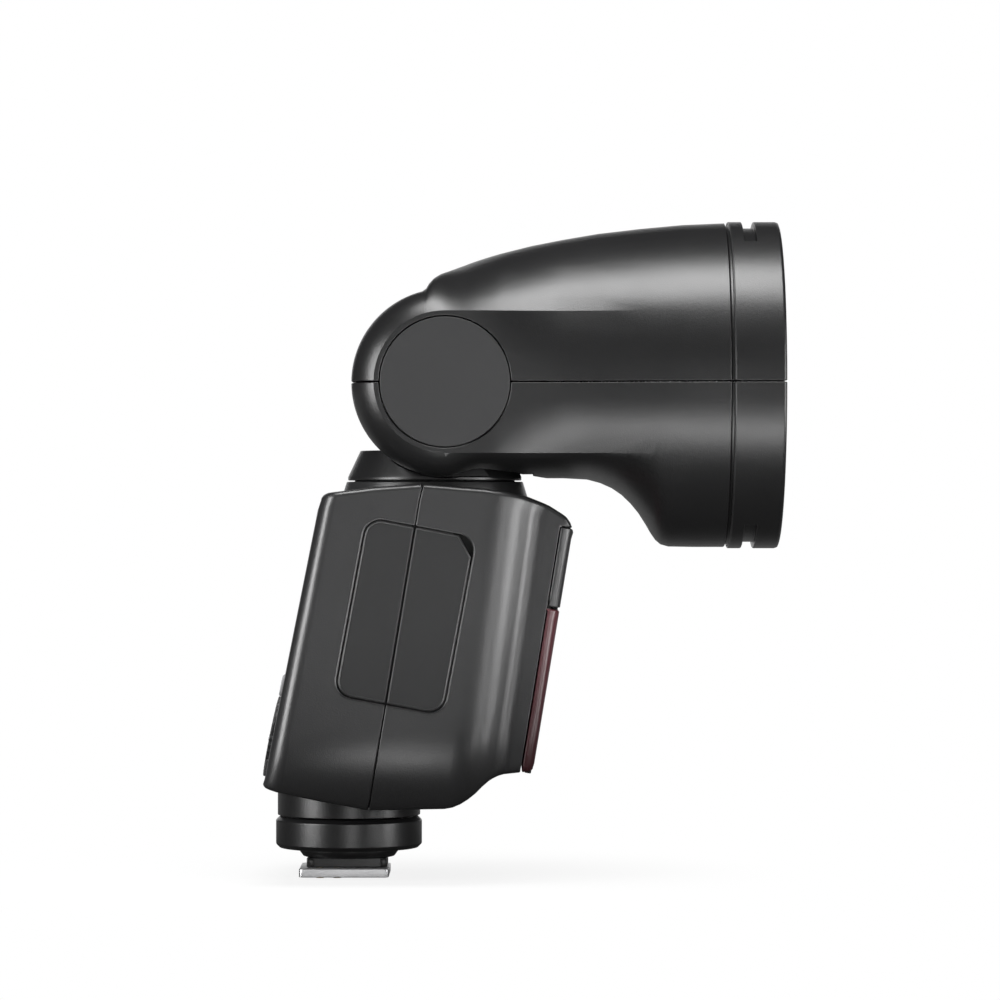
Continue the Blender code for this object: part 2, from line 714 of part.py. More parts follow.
def plan_front():
    """Half of the front shell in plan, from the seam to the middle of the nose: (ahead, y)."""
    points = [(None, BODY_SIDE)]
    for k in range(SHOULDER_STEPS + 1):
        t = SHOULDER_TURN * k / SHOULDER_STEPS
        points.append((SHOULDER - SHOULDER_R * sin(t), BODY_SIDE - SHOULDER_R * (1 - cos(t))))
    ahead = SHOULDER - (SHOULDER_R + VALLEY_R) * sin(SHOULDER_TURN)
    side = BODY_SIDE - (SHOULDER_R + VALLEY_R) * (1 - cos(SHOULDER_TURN))
    for k in range(1, VALLEY_STEPS + 1):
        t = SHOULDER_TURN * (1 - k / VALLEY_STEPS)
        points.append((ahead + VALLEY_R * sin(t), side + VALLEY_R * (1 - cos(t))))
    for k in range(CORNER_STEPS + 1):
        t = pi / 2 * k / CORNER_STEPS
        points.append((NOSE_CORNER * (1 - sin(t)), side - NOSE_CORNER * (1 - cos(t))))
    points.append((ZERO, side / 2))
    points.append((ZERO, ZERO))
    return points


def inset(points, step):
    """Move an open half plan inwards; its first point keeps its depth and its last stays in the middle."""
    out = []
    for k, (d, y) in enumerate(points):
        if k == 0:
            out.append((d, y - step))
            continue
        if k == len(points) - 1:
            out.append((d + step, y))
            continue
        before = points[k - 1] if points[k - 1][0] is not None else (d + PASS, y)
        after = points[k + 1]
        run = Vector((after[0] - before[0], after[1] - before[1])).normalized()
        out.append((d - step * run.y, y + step * run.x))
    return out


def bowl(z):
    """How much narrower the body is at height z."""
    drop = min(1, max(0, (BOWL_TOP - z) / BOWL_HEIGHT))
    return 1 - BOWL_IN / BODY_SIDE * (1 - sqrt(1 - drop * drop))


def ruled(d, rear, seam_shift):
    """The bottom and top points of the body's surface line at d behind the front, or ahead of the rear."""
    if rear:
        low = REAR_LOW[0] * MM + (SEAM_FROM_REAR_LOW - seam_shift if d is None else d)
        top = REAR_TOP[0] * MM + (SEAM_FROM_REAR_TOP - seam_shift if d is None else d)
    else:
        low = REAR_LOW[0] * MM + SEAM_FROM_REAR_LOW + seam_shift if d is None else FRONT_LOW[0] * MM - d
        top = REAR_TOP[0] * MM + SEAM_FROM_REAR_TOP + seam_shift if d is None else FRONT_TOP[0] * MM - d
    return Vector((low, along(LOW_LINE, low))), Vector((top, along(TOP_LINE, top)))


def body_half(name, plan, rear, look):
    """The rear or front half of the body's outer form."""
    turns = [pi / 2 * k / EDGE_STEPS for k in range(EDGE_STEPS + 1)]
    rows = [(0, LOW_EDGE * (1 - sin(t)), LOW_EDGE * (1 - cos(t))) for t in turns]
    rows += [(share, ZERO, ZERO) for share in ROW_STEPS]
    rows += [(1, TOP_EDGE * (1 - cos(t)), TOP_EDGE * (1 - sin(t))) for t in turns]
    bm = bmesh.new()
    loops = []
    for share, step, off in rows:
        half = []
        for d, y in inset(plan, step):
            low, top = ruled(d, rear, SEAM)
            spot = low.lerp(top, share)
            z = spot.y + (off if share == 0 else -off)
            half.append((spot.x, y * bowl(z), z))
        full = half + [(x, -y, z) for x, y, z in reversed(half[:-1])]
        loops.append([bm.verts.new(p) for p in full])
    count = len(loops[0])
    for one, two in zip(loops, loops[1:]):
        for k in range(count):
            m = (k + 1) % count
            bm.faces.new((one[k], one[m], two[m], two[k]))
    middle = count // 2
    for loop in (loops[0], loops[-1]):
        for k in range(middle - 2):
            bm.faces.new((loop[k], loop[k + 1], loop[count - 2 - k], loop[count - 1 - k]))
        bm.faces.new(loop[middle - 2:middle + 3])
    return made(bm, name, look)


def body_room():
    """The space inside the body."""
    bm = bmesh.new()
    loops = []
    rear = inset(plan_rear(), BODY_WALL)[1:]
    front = [spot for spot in inset(plan_front(), BODY_WALL)[1:] if spot[0] > ROOM_NOSE + GAP]
    front += [(ROOM_NOSE, front[-1][1]), (ROOM_NOSE, ZERO)]
    for k in range(ROOM_STEPS + 1):
        z = ROOM_LOW + (ROOM_TOP - ROOM_LOW) * k / ROOM_STEPS
        half = []
        for plan, is_rear in ((rear[::-1], True), (front, False)):
            for d, y in plan:
                low, top = ruled(d, is_rear, ZERO)
                x = low.x + (top.x - low.x) * (z - low.y) / (top.y - low.y)
                half.append((x, y * bowl(z), z))
        full = half + [(x, -y, z) for x, y, z in reversed(half[1:-1])]
        loops.append([bm.verts.new(p) for p in full])
    count = len(loops[0])
    for one, two in zip(loops, loops[1:]):
        for k in range(count):
            m = (k + 1) % count
            bm.faces.new((one[k], one[m], two[m], two[k]))
    bm.faces.new(loops[0])
    bm.faces.new(loops[-1])
    bmesh.ops.remove_doubles(bm, verts=bm.verts, dist=SEAM / 10)
    return made(bm, "room")


def corner_line(u_sign, size):
    """Signed distance inside the clipped upper front corner of a side panel."""
    wide = PANEL_CUT_W * size
    tall = PANEL_CUT_H * size

    def inside(u, v):
        share = (PANEL_W / 2 - u * u_sign) / wide + (PANEL_H / 2 - v) / tall - 1
        return share / sqrt(1 / wide ** 2 + 1 / tall ** 2)
    return inside


def panel_outline(shrink):
    return rounded(PANEL_W - 2 * shrink, PANEL_H - 2 * shrink, PANEL_CORNER - shrink)


def lid_outline(shrink):
    """The battery's outline, with one corner left for the latch."""
    inside = corner_line(-1, LATCH_SIZE)
    return clipped(panel_outline(shrink), lambda u, v: inside(u, v) - shrink)


def latch_outline(shrink):
    """The corner that the battery leaves."""
    inside = corner_line(-1, LATCH_SIZE)
    return clipped(panel_outline(shrink), lambda u, v: -inside(u, v) - LATCH_WEB - shrink)


def key_spots():
    """Name, outline and centre of each key on the rear panel."""
    for k in range(KEY_COUNT):
        yield f"function_button_{k + 1}", (k - (KEY_COUNT - 1) / 2) * KEY_PITCH, KEY_UP, None
    yield "mode_button", -SIDE_KEY_U, SIDE_KEY_HIGH, SIDE_KEY_R
    yield "test_button", -SIDE_KEY_U, SIDE_KEY_LOW, SIDE_KEY_R
    yield "menu_button", SIDE_KEY_U, SIDE_KEY_HIGH, SIDE_KEY_R


def key_outline(u, v, radius, grow):
    if radius is None:
        return rounded(KEY_W + 2 * grow, KEY_H + 2 * grow, KEY_R + grow, u, v, 3)
    count = SMALL + 4
    turn = [2 * pi * k / count for k in range(count)]
    return [(u + (radius + grow) * cos(t), v + (radius + grow) * sin(t)) for t in turn]


def screen_box(shrink):
    wide = SCREEN_W / 2 - shrink
    tall = SCREEN_H / 2 - shrink
    return rectangle(-wide, wide, SCREEN_UP - tall, SCREEN_UP + tall)


def rear_cutters():
    """What the rear panel makes room for."""
    out = PASS
    bed = rounded(SCREEN_W + 2 * GAP, SCREEN_H + 2 * GAP, SCREEN_R + GAP, ZERO, SCREEN_UP)
    yield prism("screen_bed", bed, -SCREEN_T - GAP, out, REAR)
    yield prism("screen_way", screen_box(SCREEN_EDGE), -BODY_WALL - PASS, out, REAR)
    for name, u, v, radius in key_spots():
        yield prism(name + "_well", key_outline(u, v, radius, GAP), -KEY_DEPTH, out, REAR)
    wide = SWITCH_W / 2 + GAP
    tall = (SWITCH_H + SWITCH_TRAVEL) / 2 + GAP
    well = rectangle(SIDE_KEY_U - wide, SIDE_KEY_U + wide, SIDE_KEY_LOW - tall, SIDE_KEY_LOW + tall)
    yield prism("switch_well", well, -KEY_DEPTH, out, REAR)
    yield prism("dial_well", key_outline(ZERO, DIAL_UP, DIAL_R, GAP), -KEY_DEPTH, out, REAR)


def shared_cutters(rear):
    """What both body shells make room for."""
    yield body_room()
    bed = COLLAR_BASE - GAP
    yield lathe("collar_bed", (
        (ZERO, ROOM_TOP - PASS), (SHAFT_R + GAP, ROOM_TOP - PASS), (SHAFT_R + GAP, bed),
        (COLLAR_LOW_R + GAP, bed), (COLLAR_LOW_R + GAP, COLLAR_TOP + PASS), (ZERO, COLLAR_TOP + PASS),
    ), PAN, sides=BIG)
    yield rod("column_bed", COLUMN_R + GAP, ZERO, COLUMN_TOP + GAP, AXIS_Z, sides=BIG)
    yield prism("panel_bed", panel_outline(ZERO), -PANEL_DEPTH, PASS, SIDE_RIGHT)
    yield prism("battery_way", lid_outline(ZERO), -BODY_WALL - PASS, PASS, SIDE_LEFT)
    if not rear:
        yield prism("latch_well", latch_outline(ZERO), -LATCH_DEPTH, PASS, SIDE_LEFT)


body_rear = body_half("body_rear_shell", plan_rear(), True, BLACK)
cut(body_rear, *shared_cutters(True), *rear_cutters())
body_front = body_half("body_front_shell", plan_front(), False, BLACK)
NOSE_REACH = BODY_SIDE + PASS


def nose_v(z):
    """How far up the nose's face a height is."""
    return (z - REAR_REF) / NOSE.col[1].z


cut(body_front, *shared_cutters(False), prism("nose_bed", rectangle(
    -NOSE_REACH, NOSE_REACH, nose_v(WINDOW_LOW) - PASS * 2, nose_v(COVER_TOP) + GAP),
    -NOSE_SKIN - GAP, PASS, NOSE))
LAMP = NOSE @ Matrix.Translation((ZERO, nose_v(LAMP_UP), ZERO))
cut(body_front, rod("lamp_way", LAMP_R + GAP, -NOSE_SKIN - PASS * 2, PASS, LAMP))


def nose_piece(name, low, high, look):
    """A slice of the nose's front between two heights, as far back as the nose's skin."""
    piece = body_half(name, plan_front(), False, look)
    cut(piece, prism("back", rectangle(-FAR, FAR, -FAR, FAR), -FAR, -NOSE_SKIN, NOSE))
    cut(piece, prism("above", rectangle(-FAR, FAR, nose_v(high), FAR), -FAR, FAR, NOSE))
    cut(piece, prism("below", rectangle(-FAR, FAR, -FAR, nose_v(low)), -FAR, FAR, NOSE))
    return piece


nose_piece("front_cover", COVER_LOW, COVER_TOP, DARK)
nose_piece("red_window", WINDOW_LOW, COVER_LOW - GAP * 2, RED)
rod("assist_lamp", LAMP_R, -NOSE_SKIN - GAP - LAMP_T, -NOSE_SKIN - GAP, LAMP, CLEAR, MID)



def seam_side(u, v):
    """How far a point of the side panel is in front of the body's seam."""
    spot = SIDE_RIGHT @ Vector((u, v, ZERO))
    low, top = ruled(None, True, ZERO)
    return spot.x - low.lerp(top, (spot.z - low.y) / (top.y - low.y)).x


def make_panel(tag, sign):
    """One half of the side panel: in front of the seam (sign 1) or behind it (sign -1)."""
    whole = clipped(panel_outline(PANEL_LINE), corner_line(1, 1))
    half = clipped(whole, lambda u, v: sign * seam_side(u, v) - SEAM)
    prism(f"side_panel_{tag}", half, GAP - PANEL_DEPTH, ZERO, SIDE_RIGHT, DARK)


make_panel("front", 1)
make_panel("rear", -1)


def cells(grow):
    """The outline of the battery's cells, grown all round."""
    return rectangle(-BATTERY_W / 2 - grow, BATTERY_W / 2 + grow, BATTERY_LOW - grow, BATTERY_TOP + grow)


def make_battery():
    depth = BATTERY_END - BODY_SIDE
    pack = prism("battery_pack", lid_outline(GAP), -BATTERY_LID, ZERO, SIDE_LEFT, DARK)
    join(pack, prism("cells", cells(ZERO), depth, -BATTERY_LID / 2, SIDE_LEFT))
    floor = depth - TERMINAL_T - 2 * GAP
    box = cells(BAY_PLAY + BAY_WALL)
    bay = prism("battery_bay", box, floor - BAY_WALL, -BODY_WALL - GAP, SIDE_LEFT, INSIDE)
    cut(bay, prism("bay_room", cells(BAY_PLAY), floor, PASS, SIDE_LEFT))
    middle = (BATTERY_LOW + BATTERY_TOP) / 2
    prism("battery_terminal", rectangle(
        -TERMINAL_W / 2, TERMINAL_W / 2, middle - TERMINAL_H / 2, middle + TERMINAL_H / 2),
        floor + GAP, floor + GAP + TERMINAL_T, SIDE_LEFT, BRASS)
    prism("battery_latch", latch_outline(GAP), -LATCH_DEPTH + LATCH_TRAVEL + GAP, ZERO, SIDE_LEFT, GREY)


make_battery()

prism("screen_window", rounded(SCREEN_W, SCREEN_H, SCREEN_R, ZERO, SCREEN_UP), -SCREEN_T, ZERO, REAR, SMOKE)
prism("screen_module", screen_box(ZERO), -BODY_WALL - GAP - MODULE_T, -BODY_WALL - GAP, REAR, INSIDE)
for key, key_u, key_v, key_r in key_spots():
    key_look = GREY if key_r is None else DARK
    prism(key, key_outline(key_u, key_v, key_r, ZERO), -KEY_BELOW, KEY_PROUD, REAR, key_look)
prism("power_switch", rectangle(
    SIDE_KEY_U - SWITCH_W / 2, SIDE_KEY_U + SWITCH_W / 2,
    SIDE_KEY_LOW - SWITCH_TRAVEL / 2 - SWITCH_H / 2, SIDE_KEY_LOW - SWITCH_TRAVEL / 2 + SWITCH_H / 2),
    -KEY_DEPTH + GAP, KEY_PROUD, REAR, DARK)


def make_dial():
    teeth = []
    for k in range(2 * DIAL_TEETH):
        t = pi * k / DIAL_TEETH
        radius = DIAL_R - (DIAL_TOOTH if k % 2 else ZERO)
        teeth.append((radius * cos(t), DIAL_UP + radius * sin(t)))
    dial = prism("select_dial", teeth, -KEY_DEPTH + GAP, DIAL_PROUD, REAR, DARK)
    cut(dial, prism("dial_bore", key_outline(ZERO, DIAL_UP, DIAL_BORE, ZERO), -PASS, PASS, REAR))
    prism("set_button", key_outline(ZERO, DIAL_UP, SET_R, ZERO), -KEY_BELOW, SET_PROUD, REAR, GREY)


make_dial()
prism("key_board", rectangle(
    -KEYBOARD_W / 2, KEYBOARD_W / 2, KEYBOARD_UP - KEYBOARD_H / 2, KEYBOARD_UP + KEYBOARD_H / 2),
    -BODY_WALL - GAP - BOARD_T, -BODY_WALL - GAP, REAR, GREEN)
prism("main_board", rectangle(-MAIN_W / 2, MAIN_W / 2, -MAIN_H / 2, MAIN_H / 2),
      -BODY_WALL - GAP - BOARD_T, -BODY_WALL - GAP, SIDE_RIGHT, GREEN)
CAN_SPOT = NOSE @ Vector((ZERO, nose_v(CAP_CAN_UP), -ROOM_NOSE - 3 * GAP - CAP_CAN_R))
CAN = frame(CAN_SPOT, (0, 1, 0), NOSE.col[2].xyz)
rod("main_capacitor", CAP_CAN_R, -CAP_CAN_H, ZERO, CAN, INSIDE)

# foot, lock ring and shoe
foot = lathe("foot_base", (
    (ZERO, COLUMN_TOP), (COLUMN_R, COLUMN_TOP), (COLUMN_R, COLUMN_LOW), (STEM_R, COLUMN_LOW),
    (STEM_R, STEM_STEP), (STEM_LOW_R, STEM_LOW), (ZERO, STEM_LOW),
), AXIS_Z, BLACK, BIG)
lathe("lock_ring", (
    (RINGNUT_R - RINGNUT_EDGE, RINGNUT_LOW), (RINGNUT_R, RINGNUT_LOW + RINGNUT_EDGE),
    (RINGNUT_R, COLUMN_LOW - GAP - RINGNUT_EDGE), (RINGNUT_R - RINGNUT_EDGE, COLUMN_LOW - GAP),
    (STEM_R + 2 * RUN, COLUMN_LOW - GAP), (STEM_R + 2 * RUN, RINGNUT_LOW),
), AXIS_Z, BLACK, BIG)
block = prism("shoe_block", rectangle(BLOCK_REAR, BLOCK_FRONT, -BLOCK_SIDE, BLOCK_SIDE),
              PLATE_T + GAP / 2, STEM_LOW - GAP / 2, AXIS_Z, BLACK)
PLATE_MID = (PLATE_FRONT + PLATE_REAR) / 2
PLATE = rounded(PLATE_FRONT - PLATE_REAR, 2 * PLATE_SIDE, PLATE_CORNER, PLATE_MID, ZERO, 2)
plate = prism("shoe_plate", PLATE, ZERO, PLATE_T, AXIS_Z, STEEL)
PIN = Matrix.Translation((PIN_X, ZERO, ZERO))
for solid in (foot, block, plate):
    cut(solid, rod("pin_way", PIN_R + CONTACT_PLAY, -PASS, PIN_TOP + GAP, PIN, sides=SMALL))
rod("lock_pin", PIN_R, PIN_LOW, PIN_TOP, PIN, STEEL, SMALL)
CONTACT_ROOM = CONTACT_TOP + CONTACT_PROUD + CONTACT_PLAY
for number, (x, y) in enumerate(CONTACTS):
    hole = Matrix.Translation((x * MM, y * MM, ZERO))
    for solid in (block, plate):
        cut(solid, rod("contact_way", CONTACT_R + CONTACT_PLAY, -PASS, CONTACT_ROOM, hole, sides=SMALL))
    rod(f"shoe_contact_{number + 1}", CONTACT_R, -CONTACT_PROUD, CONTACT_TOP, hole, BRASS, SMALL)

# inside the head
LENS_EDGE = LENS_BACK + LENS_T
LIP_BACK = LENS_EDGE + LENS_DOME + GAP
lathe("lens_ring", (
    (LENSRING_R, LENSRING_BACK), (LENSRING_R, LENSRING_FRONT), (LENS_SEAT - LENS_LIP, LENSRING_FRONT),
    (LENS_SEAT - LENS_LIP, LIP_BACK), (LENS_SEAT, LIP_BACK), (LENS_SEAT, LENSRING_BACK),
), HEAD, BLACK, BIG)
lathe("front_lens", (
    (ZERO, LENS_BACK), (LENS_R, LENS_BACK), (LENS_R, LENS_EDGE), (LENS_R / 2, LENS_EDGE + LENS_DOME),
    (ZERO, LENS_EDGE + LENS_DOME),
), HEAD, CLEAR, BIG)


def head_plate(name, low, top, back, thick):
    """An oval plate across the head with the two guide rods running through it."""
    turns = [2 * pi * k / MID for k in range(MID)]
    oval = [(PLATE_WIDE * cos(t), (top if sin(t) > 0 else low) * sin(t)) for t in turns]
    disc = prism(name, oval, back, back + thick, HEAD, INSIDE)
    for y in (-ROD_Y, ROD_Y):
        way = HEAD @ Matrix.Translation((y, ZERO, ZERO))
        cut(disc, rod("rod_way", ROD_R + RUN, back - PASS, back + PASS, way, sides=SMALL))
    return disc


head_plate("lamp_frame", CAVITY_LOW - GAP, CAVITY_TOP - GAP, FRAME_BACK, FRAME_T)
carriage = head_plate("zoom_carriage", CARRIAGE_LOW, CARRIAGE_TOP, CARRIAGE_BACK, CARRIAGE_T)
CARRIAGE_FRONT = CARRIAGE_BACK + CARRIAGE_T
TAB = rectangle(-TAB_SIDE, TAB_SIDE, CARRIAGE_TOP - CARRIAGE_T, TAB_TOP)
join(carriage, prism("tab", TAB, CARRIAGE_BACK, CARRIAGE_FRONT, HEAD))
SCREW = HEAD @ Matrix.Translation((ZERO, SCREW_Z, ZERO))
cut(carriage, rod("screw_way", SCREW_R + 2 * RUN, FRAME_BACK, CARRIAGE_FRONT + PASS, SCREW, sides=SMALL))
for tag, rod_y in (("right", -ROD_Y), ("left", ROD_Y)):
    way = HEAD @ Matrix.Translation((rod_y, ZERO, ZERO))
    rod(f"guide_rod_{tag}", ROD_R, FRAME_BACK, ROD_FRONT, way, STEEL, SMALL)
rod("lead_screw", SCREW_R, SCREW_BACK, MOTOR_BACK - GAP, SCREW, STEEL, SMALL)
motor = rod("zoom_motor", MOTOR_R, MOTOR_BACK, MOTOR_FRONT, SCREW, INSIDE)
SEAT = rectangle(-MOTOR_SEAT_SIDE, MOTOR_SEAT_SIDE, SCREW_Z, MOTOR_SEAT)
join(motor, prism("seat", SEAT, MOTOR_BACK + MM, MOTOR_FRONT - MM, HEAD))


def make_reflector():
    back = CARRIAGE_BACK + CARRIAGE_T + GAP
    outer = []
    inner = []
    for k in range(BOWL_STEPS + 1):
        share = k / BOWL_STEPS
        radius = BOWL_NECK + (BOWL_R - BOWL_NECK) * sqrt(share)
        outer.append((radius, back + BOWL_DEPTH * share))
        inner.append((radius - BOWL_WALL, back + BOWL_DEPTH * share))
    lathe("reflector", outer + inner[::-1], HEAD, MIRROR)
    dome = TUBE_R * HALF
    lathe("flash_tube", (
        (ZERO, back), (TUBE_R, back), (TUBE_R, back + TUBE_L - dome),
        (TUBE_R - dome * HALF, back + TUBE_L - dome / 4), (ZERO, back + TUBE_L),
    ), HEAD, CLEAR, SMALL + 8)


make_reflector()
LED = rectangle(-LED_SIDE, LED_SIDE, -LED_LOW, -LED_TOP)
prism("modelling_lamp", LED, LED_BACK, LED_BACK + LED_T, HEAD, GREEN)

SPOTS = {}


def hang(name, spot, nodes, carrier=None):
    """An empty on a joint's axis, which carries the pieces that move with it."""
    spot = Vector(spot)
    SPOTS[name] = spot
    pivot = bpy.data.objects.new(name, None)
    bpy.context.scene.collection.objects.link(pivot)
    pivot.location = spot
    if carrier:
        pivot.parent = bpy.data.objects[carrier]
        pivot.location = spot - SPOTS[carrier]
    for node in nodes:
        piece = bpy.data.objects[node]
        piece.data.transform(Matrix.Translation(-spot))
        piece.parent = pivot


hang("pan_joint", (PAN_X, ZERO, COLLAR_TOP), ("turret", "pan_retainer"))
hang("tilt_joint", (PIVOT_X, ZERO, PIVOT_Z), (
    "head_upper_shell", "head_lower_shell", "hinge_cap_right", "hinge_cap_left", "tilt_axle", "lens_ring",
    "front_lens", "lamp_frame", "guide_rod_right", "guide_rod_left", "zoom_motor", "modelling_lamp",
), "pan_joint")
ZOOM = ("zoom_carriage", "reflector", "flash_tube")
hang("zoom_joint", HEAD @ Vector((ZERO, ZERO, CARRIAGE_BACK)), ZOOM, "tilt_joint")
hang("screw_joint", SCREW @ Vector((ZERO, ZERO, SCREW_BACK)), ("lead_screw",), "tilt_joint")
hang("ring_joint", (ZERO, ZERO, RINGNUT_LOW), ("lock_ring",))
hang("pin_joint", (PIN_X, ZERO, ZERO), ("lock_pin",))
for key, key_u, key_v, key_r in key_spots():
    hang(f"{key}_joint", REAR @ Vector((key_u, key_v, ZERO)), (key,))
hang("set_joint", REAR @ Vector((ZERO, DIAL_UP, ZERO)), ("set_button",))
hang("dial_joint", REAR @ Vector((ZERO, DIAL_UP, ZERO)), ("select_dial",))
hang("switch_joint", REAR @ Vector((SIDE_KEY_U, SIDE_KEY_LOW, ZERO)), ("power_switch",))
hang("battery_joint", (PANEL_X, BODY_SIDE, PANEL_Z), ("battery_pack",))
hang("latch_joint", (PANEL_X, BODY_SIDE, PANEL_Z), ("battery_latch",))
for number, (x, y) in enumerate(CONTACTS):
    hang(f"contact_joint_{number + 1}", (x * MM, y * MM, ZERO), (f"shoe_contact_{number + 1}",))
bpy.context.view_layer.update()
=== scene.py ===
# %% [markdown]
# # A round-head speedlight flash, dressed for a studio picture
#
# The solids of the flash come ready made, at their real size and in their real place. This lesson dresses
# them: it puts a camera where the photographer stood, gives every piece a finish made of shader nodes, models
# the small things that the solids leave out, and sets a white table and soft lamps round the flash.

import json
from math import cos, hypot, pi, radians, sin, sqrt

import bpy
from mathutils import Matrix, Vector


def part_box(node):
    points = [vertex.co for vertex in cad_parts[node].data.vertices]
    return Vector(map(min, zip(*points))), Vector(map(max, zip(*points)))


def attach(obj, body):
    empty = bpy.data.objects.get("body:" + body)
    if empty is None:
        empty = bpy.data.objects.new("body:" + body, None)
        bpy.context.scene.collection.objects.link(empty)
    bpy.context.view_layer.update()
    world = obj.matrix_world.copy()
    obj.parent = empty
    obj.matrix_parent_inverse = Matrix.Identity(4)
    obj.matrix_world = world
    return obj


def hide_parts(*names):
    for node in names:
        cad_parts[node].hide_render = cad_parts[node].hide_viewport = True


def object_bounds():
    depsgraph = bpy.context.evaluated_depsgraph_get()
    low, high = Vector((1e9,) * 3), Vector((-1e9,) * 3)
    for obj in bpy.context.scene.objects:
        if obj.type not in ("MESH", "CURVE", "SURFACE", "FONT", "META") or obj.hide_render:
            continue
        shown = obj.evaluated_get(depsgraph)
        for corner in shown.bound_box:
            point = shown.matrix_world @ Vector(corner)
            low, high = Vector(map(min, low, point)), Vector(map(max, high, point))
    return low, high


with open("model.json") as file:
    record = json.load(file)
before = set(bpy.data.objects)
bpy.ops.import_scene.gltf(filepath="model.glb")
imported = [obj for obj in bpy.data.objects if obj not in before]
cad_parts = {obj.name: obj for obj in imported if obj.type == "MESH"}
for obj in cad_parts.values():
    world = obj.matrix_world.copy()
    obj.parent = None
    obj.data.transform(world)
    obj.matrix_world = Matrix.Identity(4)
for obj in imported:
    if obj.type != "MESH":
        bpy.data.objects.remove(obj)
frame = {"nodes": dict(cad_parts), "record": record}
cad_low, cad_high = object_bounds()
MM = 0.001
NODES = frame["nodes"]
print("nodes", len(NODES), "box in mm", [round(k / MM, 1) for k in (*cad_low, *cad_high)])

# %% [markdown]
# ## The camera
#
# The photograph is a level side view from about a metre away, with a long lens. One pixel is 0.233 mm at the
# middle of the flash, so the whole picture is 233 mm wide there. The lens follows from that width and the
# distance, which is how a photographer would choose it too.

# %% Camera
PICTURE_WIDE = 233.13 * MM
CAMERA_X, CAMERA_Z = 35.2 * MM, 87.25 * MM
CAMERA_AWAY = 1.04
SENSOR = 36.0
camera_data = bpy.data.cameras.new("camera")
camera = bpy.data.objects.new("camera", camera_data)
bpy.context.scene.collection.objects.link(camera)
camera.location = (CAMERA_X, -CAMERA_AWAY, CAMERA_Z)
camera.rotation_euler = (pi / 2, 0, 0)
camera_data.sensor_width = SENSOR
camera_data.lens = SENSOR * CAMERA_AWAY / PICTURE_WIDE
bpy.context.scene.camera = camera
bpy.context.scene.view_settings.view_transform = "Standard"
print("lens in mm", round(camera_data.lens, 1))

# %% [markdown]
# ## The leaning faces
#
# The body leans forwards, so its rear face and its nose aren't upright. A frame on each of them, with u
# across, v up the face and w out of it, lets a mark or a pattern be placed as on a drawing of that face.

# %% Face frames
DATUM = 55.0
REAR_LOW, REAR_HIGH = (-18.7, 21.9), (-5.5, 88.3)
NOSE_LOW, NOSE_HIGH = (42.75, 25.5), (51.9, 81.9)


def leaning(low, high, facing):
    """A frame on a leaning face through two points (x, z) in mm; it starts at the datum height."""
    up = Vector((high[0] - low[0], 0, high[1] - low[1])).normalized()
    across = Vector((0, facing, 0))
    x = low[0] + (DATUM - low[1]) * up.x / up.z
    turned = Matrix((across, up, across.cross(up))).transposed()
    return Matrix.Translation((x * MM, 0, DATUM * MM)) @ turned.to_4x4()


def on_face(face, u, v, w=0.0):
    """A place on a face frame, with u, v and w in mm."""
    return face @ Matrix.Translation((u * MM, v * MM, w * MM))


REAR = leaning(REAR_LOW, REAR_HIGH, -1)
NOSE = leaning(NOSE_LOW, NOSE_HIGH, 1)
print("rear face looks along", [round(k, 3) for k in REAR.col[2].xyz])

# %% [markdown]
# ## Shader maths
#
# A finish is a small graph of nodes. Wiring Math nodes by hand is slow to read, so one class wraps a socket
# and lets Python's own operators add the nodes. Any other node comes from a single method, which sets the
# node's choices first and then fills or links its sockets. Some nodes have sockets that share a name, so
# those are told apart by their number.


# %% Sockets
class Wire:
    """A node's output that Python's operators work on."""

    def __init__(self, paint, out):
        self.paint = paint
        self.out = out

    def maths(self, operation, *values):
        return self.paint.node("Math", {"operation": operation}, dict(enumerate(values)))[0]

    def __add__(self, other):
        return self.maths("ADD", self, other)

    def __sub__(self, other):
        return self.maths("SUBTRACT", self, other)

    def __rsub__(self, other):
        return self.maths("SUBTRACT", other, self)

    def __mul__(self, other):
        return self.maths("MULTIPLY", self, other)

    def __lt__(self, other):
        return self.maths("LESS_THAN", self, other)

    def __abs__(self):
        return self.maths("ABSOLUTE", self)

    __radd__ = __add__
    __rmul__ = __mul__


print("wires ready")

# %% Paints
OBJECT_PLACE = 3
MIX_ONE, MIX_TWO, MIX_COLOUR = 6, 7, 2


